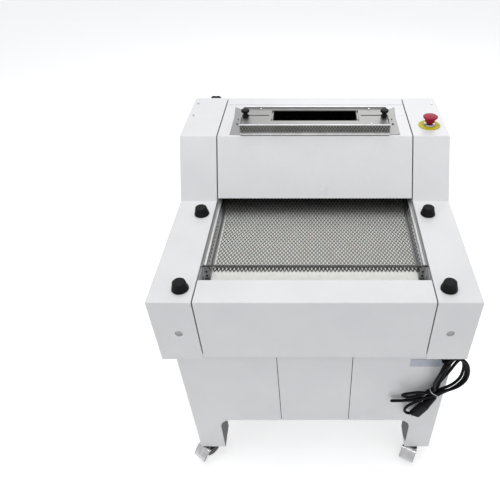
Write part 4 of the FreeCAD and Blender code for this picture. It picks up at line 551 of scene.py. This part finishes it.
# shallow dishes in the plugs of the two front holes, grey with painted shade of the dents
DISH_SPOT = (305, 0, 602)
DISH_PROFILE = [(9.6, 2.05), (8.4, 2.05), (7.2, 2.1), (5.4, 2.14), (3.0, 2.16), (0.3, 2.17)]
dishes = Build()
for side in (-1, 1):
    dishes.lathe(DISH_PROFILE, place(DISH_SPOT[0]*side, *DISH_SPOT[1:]), axis="y", segments=36)
dishes.piece("front_hole_dishes", DENT_SHADE, "cabinet", "white_paint", angle=70)

# painted shade: dark strips behind the seams of the base, for the shade in the gaps
SEAM_NEAR = 88
SEAM_FAR = 99
SEAM_LOW = 206
SEAM_HIGH = 512
SEAM_FACES = ((32.1, 1), (731.9, -1))
SEAM_SHADE_SHEET = 1.5
seam_shades = Build()
for side in (-1, 1):
    for face_y, inward in SEAM_FACES:
        outline = upright(SEAM_NEAR*side, SEAM_FAR*side, face_y, SEAM_LOW, SEAM_HIGH)
        seam_shades.slab(outline, Vector((0, SEAM_SHADE_SHEET*inward*MM, 0)))
seam_shades.piece("seam_shade_strips", JOINT_AND_SEAM_SHADE, "cabinet", "black_plastic")

# lug plates with holes, drawn as black discs of painted shade, at the front ends of the side rods, and the
# heads of the cross rod
LUG_FACE_Y = 126
LUG_FACE = ((244, 657), (259.4, 657), (259.4, 687), (250, 690), (246, 684))
LUG_FACE_SHEET = 2
LUG_SIDE_X = 257.6
LUG_SIDE = ((112, 660), (146, 660), (146, 688), (122, 688), (112, 676))
LUG_SIDE_SHEET = 1.6
LUG_HOLE = [(2.6, -0.25), (2.6, 0.0), (0.2, 0.0)]
LUG_HOLE_X = 252.6
LUG_HOLE_Z = (664, 676)
CROSS_ROD_Y = 129
CROSS_ROD_Z = 692
ROD_HEAD = [(0.3, -1), (3.4, -1), (3.4, 2.4), (2.4, 3.2), (0.3, 3.3)]
ROD_HEAD_X = 263.6
lugs = Build()
hole_shades = Build()
for side in (-1, 1):
    lugs.slab([place(x*side, LUG_FACE_Y, z) for x, z in LUG_FACE], Vector((0, LUG_FACE_SHEET*MM, 0)))
    lugs.slab([place(LUG_SIDE_X*side, y, z) for y, z in LUG_SIDE], Vector((LUG_SIDE_SHEET*MM*side, 0, 0)))
    for height in LUG_HOLE_Z:
        hole_shades.lathe(LUG_HOLE, place(LUG_HOLE_X*side, LUG_FACE_Y - 0.1, height), axis="y", segments=20)
    lugs.lathe(ROD_HEAD, place(ROD_HEAD_X*side, CROSS_ROD_Y, CROSS_ROD_Z), axis="x", segments=20)
lugs.piece("front_lugs", ZINC, "cabinet", "stainless", angle=35)
hole_shades.piece("front_lug_hole_shades", SHADE_BLACK, "cabinet", "black_plastic")

# a dull sleeve on the thin cross rod and bright tubes on the side rods
SLEEVE_HALF = 262
SLEEVE_RADIUS = 2.15
SIDE_ROD_X = 257
SIDE_ROD_Z = 685
SIDE_ROD_BACK = 440
SIDE_ROD_RADIUS = 5.2
sleeve = Build()
sleeve_ends = [place(end, CROSS_ROD_Y, CROSS_ROD_Z) for end in (-SLEEVE_HALF, SLEEVE_HALF)]
sleeve.tube(sleeve_ends, SLEEVE_RADIUS, 16)
sleeve.piece("cross_rod_sleeve", ROD, "cabinet", "chrome", angle=60)
tubes = Build()
for side in (-1, 1):
    rod_ends = [place(SIDE_ROD_X*side, end, SIDE_ROD_Z) for end in (CROSS_ROD_Y, SIDE_ROD_BACK)]
    tubes.tube(rod_ends, SIDE_ROD_RADIUS, 24)
tubes.piece("side_rod_tubes", BRIGHT_ROD, "cabinet", "chrome", angle=60)

# painted shade: dark sheets on the inner faces of the legs, where the legs shade their insides
LEG_SHADE_X = 267.9
LEG_SHADE_LOW = 60.4
LEG_SHADE_HIGH = 167.6
LEG_DEPTHS = ((32.2, 99.8), (664.2, 731.8))
LEG_SHADE_SHEET = 0.3
leg_shades = Build()
for side in (-1, 1):
    for near, far in LEG_DEPTHS:
        corners = ((near, LEG_SHADE_LOW), (far, LEG_SHADE_LOW), (far, LEG_SHADE_HIGH), (near, LEG_SHADE_HIGH))
        leg_shades.slab([place(LEG_SHADE_X*side, y, z) for y, z in corners], Vector((-LEG_SHADE_SHEET*side*MM, 0, 0)))
leg_shades.piece("leg_painted_shades", LEG_SHADE, "cabinet", "frame_paint")

# blank rating plate on the base, under the front cover
PLATE_X = (236, 318)
PLATE_Y = 29.4
PLATE_Z = (446, 474)
PLATE_SHEET = 0.5
plate = Build()
plate.slab(upright(*PLATE_X, PLATE_Y, *PLATE_Z), Vector((0, PLATE_SHEET*MM, 0)))
plate.piece("rating_plate_blank", PLATE, "cabinet", "stainless")


# castor wheels: a grey tyre with a rounded tread on a dark hub, about each axle
def castor_wheel(corner, body, node, centre, heading):
    """Tyre and hub of one wheel, turned to its heading."""
    turn = Matrix.Rotation(math.radians(heading), 4, "Z")
    tyre = Build()
    profile = [(17.5, -8.6), (19.5, -9.8), (25.0, -9.9)] + arc((25.2, -6.6), 3.4, -80, -10, 5)
    profile += [(29.0, -3.0), (29.0, 3.0)] + arc((25.2, 6.6), 3.4, 10, 80, 5)
    profile += [(25.0, 9.9), (19.5, 9.8), (17.5, 8.6)]
    tyre.lathe(profile, Vector((0, 0, 0)), axis="y", segments=56)
    hub = Build()
    profile = [(5.1, -10), (8.5, -10), (9.0, -9.2), (9.0, -6.6), (16.0, -5.6), (17.6, -7.8)]
    profile += [(17.6, 7.8), (16.0, 5.6), (9.0, 6.6), (9.0, 9.2), (8.5, 10), (5.1, 10)]
    hub.lathe(profile, Vector((0, 0, 0)), axis="y", segments=40)
    for made in (tyre, hub):
        made.verts = [centre + turn @ Vector(v) for v in made.verts]
    tyre.piece("tyre_" + corner, TYRE, body, "wheel_rubber", replaces=[node], angle=50)
    hub.piece("hub_" + corner, DARK_STEEL, body, "steel", angle=40)


# stamped brake pedals: a bent foot plate with folded sides on two arms
FOOT_LINE = (
    (18, 26.0), (23, 28.4), (29, 27.6), (35, 23.4), (41, 16.4), (46.4, 9.0), (50.4, 3.6), (51.0, 1.0),
)
FOOT_HALF = 22.0
FOOT_SHEET = 1.6
FOLD_DEPTH = 6.0
UNDER_LEAN = 0.8
FOLD_LEAN = 0.7
ARM_LINE = [(-8, -8), (8, -8), (38.5, 14), (31, 21), (-8, 8)]
ARM_NEAR = 14.8
ARM_FAR = 17.2
RIB_AT = (-8, 8)
RIB_HALF = 2.2
RIB_PROUD = (0.7, 0.9)
PEDAL_EDGE = 0.45


def brake_pedal(corner, body, node, centre, heading):
    """Foot plate with folded sides and ribs, on two dark arms beside the wheel."""
    turn = Matrix.Rotation(math.radians(heading), 4, "Z")

    def plate(made, line, near, far):
        outline = [Vector((x*MM, near*MM, z*MM)) for x, z in line]
        made.slab(outline, Vector((0, (far - near)*MM, 0)))

    foot = Build()
    arms = Build()
    under = [(x - UNDER_LEAN*FOOT_SHEET, z - FOOT_SHEET) for x, z in reversed(FOOT_LINE)]
    plate(foot, list(FOOT_LINE) + under, -FOOT_HALF, FOOT_HALF)
    deep = [(x - FOLD_LEAN*FOLD_DEPTH, z - FOLD_DEPTH) for x, z in reversed(FOOT_LINE[1:-1])]
    for side in (-1, 1):
        edge = side*FOOT_HALF
        plate(foot, list(FOOT_LINE[1:-1]) + deep, edge, edge - side*FOOT_SHEET)
        plate(arms, ARM_LINE, ARM_NEAR*side, ARM_FAR*side)
    ribbed = FOOT_LINE[2:6]
    rib = [(x + RIB_PROUD[0], z + RIB_PROUD[1]) for x, z in ribbed] + list(reversed(ribbed))
    for middle in RIB_AT:
        plate(foot, rib, middle - RIB_HALF, middle + RIB_HALF)
    for made in (foot, arms):
        made.verts = [centre + turn @ Vector(v) for v in made.verts]
    arms.piece("pedal_arms_" + corner, DARK_STEEL, body, "steel", angle=35)
    pedal = foot.piece("pedal_plate_" + corner, CHROME, body, "chrome", replaces=[node], angle=35)
    rounded = pedal.modifiers.new("edges", "BEVEL")
    rounded.width = PEDAL_EDGE*MM
    rounded.segments = 2
    rounded.limit_method = "ANGLE"


TRAIL = 20.0
AXLE = 29.0
CASTOR_X = 304.0
FRONT_CASTOR_Y = 66
REAR_CASTOR_Y = 698
REAR_HEADING = 90
CASTORS = {"fl": (-CASTOR_X, 232.0), "fr": (CASTOR_X, 242.0)}
for corner, (swivel_x, heading) in CASTORS.items():
    angle = math.radians(heading)
    centre = place(swivel_x + TRAIL*math.cos(angle), FRONT_CASTOR_Y + TRAIL*math.sin(angle), AXLE)
    castor_wheel(corner, "wheel_" + corner, "castor_wheel_" + corner, centre, heading)
    brake_pedal(corner, "pedal_" + corner, "brake_pedal_" + corner, centre, heading)
for corner, wheel_x in (("rl", -CASTOR_X), ("rr", CASTOR_X)):
    centre = place(wheel_x, REAR_CASTOR_Y, AXLE)
    castor_wheel(corner, "wheel_" + corner, "castor_wheel_" + corner, centre, REAR_HEADING)

# mains cord: out of its gland, hanked up and down through a tie, then to its plug
# at the tie its passes lie in columns, from upper left to lower right, and in layers from front to back
WAIST = (308.0, 361.0)
WAIST_ALONG = (0.66, 0.75)
WAIST_ACROSS = (0.75, -0.66)
PASS_STEP = 7.2
MIDDLE_COLUMN = 1.5
LAYERS = (8.6, 16.2, 24.0)
CORD_RADIUS = 3.9


def waist(column, layer, along):
    """A point of one pass through the tie."""
    aside = (column - MIDDLE_COLUMN)*PASS_STEP
    x = WAIST[0] + aside*WAIST_ACROSS[0] + along*WAIST_ALONG[0]
    z = WAIST[1] + aside*WAIST_ACROSS[1] + along*WAIST_ALONG[1]
    return (x, LAYERS[layer], z)


CORD_EXIT = (318, 20, 484)
PLUG_BACK = (290, 11, 303)
CORD_ROUTE = [
    CORD_EXIT, (317, 0, 484), (306, -6, 472), (301, -2, 440), (299, 5, 402),
    waist(0, 0, 12), waist(0, 0, -8),
    (270, 8, 368), (241, 8, 363), (222, 10, 352), (241, 13, 337), (268, 14, 344), (285, 15, 353),
    waist(0, 1, -6), waist(0, 1, 14),
    (307, 12, 402), (311, 11, 440), (315, 10, 478), (327, 10, 500), (350, 10, 502), (371, 10, 480),
    (380.5, 10, 443), (378, 11, 407), (356, 10, 380),
    waist(2, 0, 14), waist(2, 0, -12),
    (288, 12, 337), (262, 15, 324), (232, 16, 318), (207, 16, 318), (202, 19.5, 313), (207, 23, 308),
    (232, 23, 309), (262, 23, 316), (284, 23, 336),
    waist(1, 2, -8), waist(1, 2, 14),
    (325, 24, 404), (338, 24, 438), (346, 24, 466), (353, 24, 481), (362, 25, 477), (369, 26, 457),
    (371.5, 26, 430), (367.5, 24, 403), (348, 19, 381),
    waist(2, 1, 14), waist(2, 1, -12),
    (286, 18, 324), (264, 19, 306), (245, 19, 287), (241, 19, 267), (253, 19, 254), (270, 21, 257),
    (286, 24, 278), (294, 22, 316),
    waist(1, 1, -10), waist(1, 1, 14),
    (317, 17, 402), (323, 17, 440), (329, 17, 474), (339, 17, 494), (355, 18, 493), (371, 18, 471),
    (377, 18, 437), (374, 17, 404), (353, 12, 379),
    waist(3, 0, 14), waist(3, 0, -2),
    (312, 9.5, 346), (308, 11, 336), PLUG_BACK,
]
line = bpy.data.curves.new("mains_cord", "CURVE")
line.dimensions = "3D"
line.resolution_u = 10
line.bevel_depth = CORD_RADIUS*MM
line.bevel_resolution = 4
line.use_fill_caps = True
spline = line.splines.new("NURBS")
spline.points.add(len(CORD_ROUTE) - 1)
for point, spot in zip(spline.points, CORD_ROUTE):
    point.co = (*place(*spot), 1)
spline.order_u = 3
spline.use_endpoint_u = True
line.materials.append(RUBBER)
cord = bpy.data.objects.new("mains_cord", line)
bpy.context.scene.collection.objects.link(cord)
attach(cord, "cabinet")
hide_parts("power_cord", "cord_hank")

# white twist tie: one squarish turn around the waist of the hank, with a short free end
TIE_STEPS = 40
TIE_HALF = 15.6
TIE_DEEP = 12.6
TIE_MIDDLE = 16.0
TIE_CORNER = 0.4
TIE_SLIP = 2.4
TIE_RADIUS = 0.9
TIE_END = ((319, 4.2, 351), (324, 3.0, 347), (327, 4.0, 341))


def rounded_square(angle, power):
    """Place on a unit square with round corners; a lower power has sharper corners."""
    c = math.cos(angle)
    d = math.sin(angle)
    return math.copysign(abs(c)**power, c), math.copysign(abs(d)**power, d)


tie = Build()
turn = []
for step in range(TIE_STEPS + 1):
    across, depth = rounded_square(2*math.pi*step/TIE_STEPS, TIE_CORNER)
    across *= TIE_HALF
    slip = TIE_SLIP*(step/TIE_STEPS - 0.5)
    x = WAIST[0] + across*WAIST_ACROSS[0] + slip*WAIST_ALONG[0]
    z = WAIST[1] + across*WAIST_ACROSS[1] + slip*WAIST_ALONG[1]
    turn.append(place(x, TIE_MIDDLE + TIE_DEEP*depth, z))
tie.tube(turn, TIE_RADIUS, 8)
tie.tube([place(*spot) for spot in TIE_END], TIE_RADIUS, 8)
tie.piece("twist_tie", WIRE_TIE, "cabinet", "cord_rubber", angle=60)

# moulded plug: a ribbed sleeve growing into a flat body with two pins
PLUG_ANGLE = math.radians(119)
PLUG_ALONG = Vector((math.cos(PLUG_ANGLE), 0, -math.sin(PLUG_ANGLE)))
PLUG_ASIDE = Vector((-PLUG_ALONG.z, 0, PLUG_ALONG.x))
PLUG_UP = Vector((0, 1, 0))

SLEEVE_RIBS = 8
SLEEVE_PITCH = 4.9
SLEEVE_END = -46
RIB_WIDE = (6.6, 0.86)
RIB_HIGH = (5.6, 0.3)
PLUG_AROUND = 40
PIN_ASIDE = 5.8
PIN_RADIUS = 2.3
PIN_ALONG = (44, 58.6, 59.6)


def plug_spot(along, aside, up):
    """A place on the plug, from the point where the cord ends in it."""
    spot = Vector(PLUG_BACK) + PLUG_ALONG*along + PLUG_ASIDE*aside + PLUG_UP*up
    return place(*spot)


def plug_sections():
    """Sections along the plug: place, half width, half height, and how square each is."""
    sections = [(SLEEVE_END, 4.2, 4.2, 2.0), (SLEEVE_END + 1, 5.2, 5.2, 2.0)]
    for rib in range(SLEEVE_RIBS):
        start = SLEEVE_END + 2 + rib*SLEEVE_PITCH
        wide = RIB_WIDE[0] + rib*RIB_WIDE[1]
        high = RIB_HIGH[0] + rib*RIB_HIGH[1]
        sections += [(start, wide, high, 2.4), (start + 3.4, wide + 0.5, high + 0.1, 2.4)]
        sections += [(start + 3.6, wide - 0.9, high - 0.9, 2.4), (start + 4.6, wide - 0.8, high - 0.8, 2.4)]
    sections += [(-4, 13.4, 7.8, 2.8), (2, 14.8, 8.0, 3.2), (14, 15.4, 8.0, 3.6), (38, 15.4, 8.0, 4.2)]
    sections += [(44, 15.2, 7.8, 4.6), (45.2, 14.2, 6.8, 4.6)]
    return sections


def plug_shape():
    """One closed skin over all the sections."""
    made = Build()
    sections = plug_sections()
    verts = []
    for along, half_wide, half_high, power in sections:
        for step in range(PLUG_AROUND):
            aside, up = rounded_square(2*math.pi*step/PLUG_AROUND, 2/power)
            verts.append(plug_spot(along, half_wide*aside, half_high*up))
    made.add(verts, skin_faces(len(sections), PLUG_AROUND))
    return made.piece("plug_moulding", RUBBER, "cabinet", "black_plastic", replaces=["power_plug"], angle=35)


plug = plug_shape()
pins = Build()
for aside in (-PIN_ASIDE, PIN_ASIDE):
    pins.tube([plug_spot(along, aside, 0) for along in PIN_ALONG], PIN_RADIUS, 16)
plug_pins = pins.piece("plug_pins", CHROME, "cabinet", "chrome", angle=40)

# a mesh of the cord's middle line, made and removed again
plain = line.copy()
plain.bevel_depth = 0.0
probe = bpy.data.objects.new("probe", plain)
traced = bpy.data.meshes.new_from_object(probe)
bpy.data.meshes.remove(traced)
bpy.data.objects.remove(probe)
bpy.data.curves.remove(plain)

# floor, backdrop and light
FLOOR_HALF = 8.0
FLOOR_GLOW = 0.29
FLOOR_SEEN_GLOW = 0.29
LAMPS = (
    ("overhead", (-0.2, 0.1, 3.3), (0, 0, 0.7), (2.6, 2.6), 48),
    ("front_strip", (0.5, -2.0, 2.85), (0, 0, 0.6), (2.2, 0.5), 10),
    ("front_left", (-2.6, -2.2, 1.9), (0, -0.2, 0.5), (1.6, 1.6), 8),
    ("front_right", (2.4, -2.2, 1.7), (0.1, -0.2, 0.45), (1.6, 1.6), 5),
    ("behind", (0.6, 2.8, 2.4), (0, 0.2, 0.7), (2.0, 1.4), 12),
)
WORLD_GLOW = 0.28


def background_rays(tree):
    """One for the rays that show the background: from the camera, or by way of metal or glass."""
    rays = tree.nodes.new("ShaderNodeLightPath")
    found = rays.outputs["Is Camera Ray"]
    for kind in ("Is Glossy Ray", "Is Transmission Ray"):
        either = tree.nodes.new("ShaderNodeMath")
        either.operation = "MAXIMUM"
        tree.links.new(found, either.inputs[0])
        tree.links.new(rays.outputs[kind], either.inputs[1])
        found = either.outputs["Value"]
    return found


def pale_floor():
    """A wide pale floor that glows a little, and more where it is seen, under the object's shadow."""
    finish = material("pale_floor", (0.86, 0.86, 0.86), (0.90, 0.90, 0.90), 3, (0.6, 0.75))
    tree = finish.node_tree
    surface = tree.nodes["Principled BSDF"]
    surface.inputs["Emission Color"].default_value = (1, 1, 1, 1)
    glow = tree.nodes.new("ShaderNodeMath")
    glow.operation = "MULTIPLY_ADD"
    tree.links.new(background_rays(tree), glow.inputs[0])
    glow.inputs[1].default_value = FLOOR_SEEN_GLOW
    glow.inputs[2].default_value = FLOOR_GLOW
    tree.links.new(glow.outputs["Value"], surface.inputs["Emission Strength"])
    mesh = bpy.data.meshes.new("floor")
    corners = [
        (-FLOOR_HALF, -FLOOR_HALF, 0), (FLOOR_HALF, -FLOOR_HALF, 0),
        (FLOOR_HALF, FLOOR_HALF, 0), (-FLOOR_HALF, FLOOR_HALF, 0),
    ]
    mesh.from_pydata(corners, [], [(0, 1, 2, 3)])
    mesh.materials.append(finish)
    floor = bpy.data.objects.new("floor", mesh)
    bpy.context.scene.collection.objects.link(floor)


def area_light(name, where, aim, size, power):
    """A soft rectangular lamp that faces a point; all in metres."""
    data = bpy.data.lights.new(name, "AREA")
    data.shape = "RECTANGLE"
    data.size = size[0]
    data.size_y = size[1]
    data.energy = power
    lamp = bpy.data.objects.new(name, data)
    lamp.location = where
    lamp.rotation_euler = (Vector(aim) - Vector(where)).to_track_quat("-Z", "Y").to_euler()
    bpy.context.scene.collection.objects.link(lamp)


pale_floor()
for lamp in LAMPS:
    area_light(*lamp)

world = bpy.data.worlds.new("studio")
world.use_nodes = True
bpy.context.scene.world = world
tree = world.node_tree
tree.nodes.clear()
seen = tree.nodes.new("ShaderNodeBackground")
seen.inputs["Color"].default_value = (1, 1, 1, 1)
seen.inputs["Strength"].default_value = 1.0
glow = tree.nodes.new("ShaderNodeBackground")
glow.inputs["Color"].default_value = (0.93, 0.95, 1, 1)
glow.inputs["Strength"].default_value = WORLD_GLOW
mixed = tree.nodes.new("ShaderNodeMixShader")
output = tree.nodes.new("ShaderNodeOutputWorld")
tree.links.new(background_rays(tree), mixed.inputs["Fac"])
tree.links.new(glow.outputs["Background"], mixed.inputs[1])
tree.links.new(seen.outputs["Background"], mixed.inputs[2])
tree.links.new(mixed.outputs["Shader"], output.inputs["Surface"])
bpy.context.scene.view_settings.view_transform = "Standard"
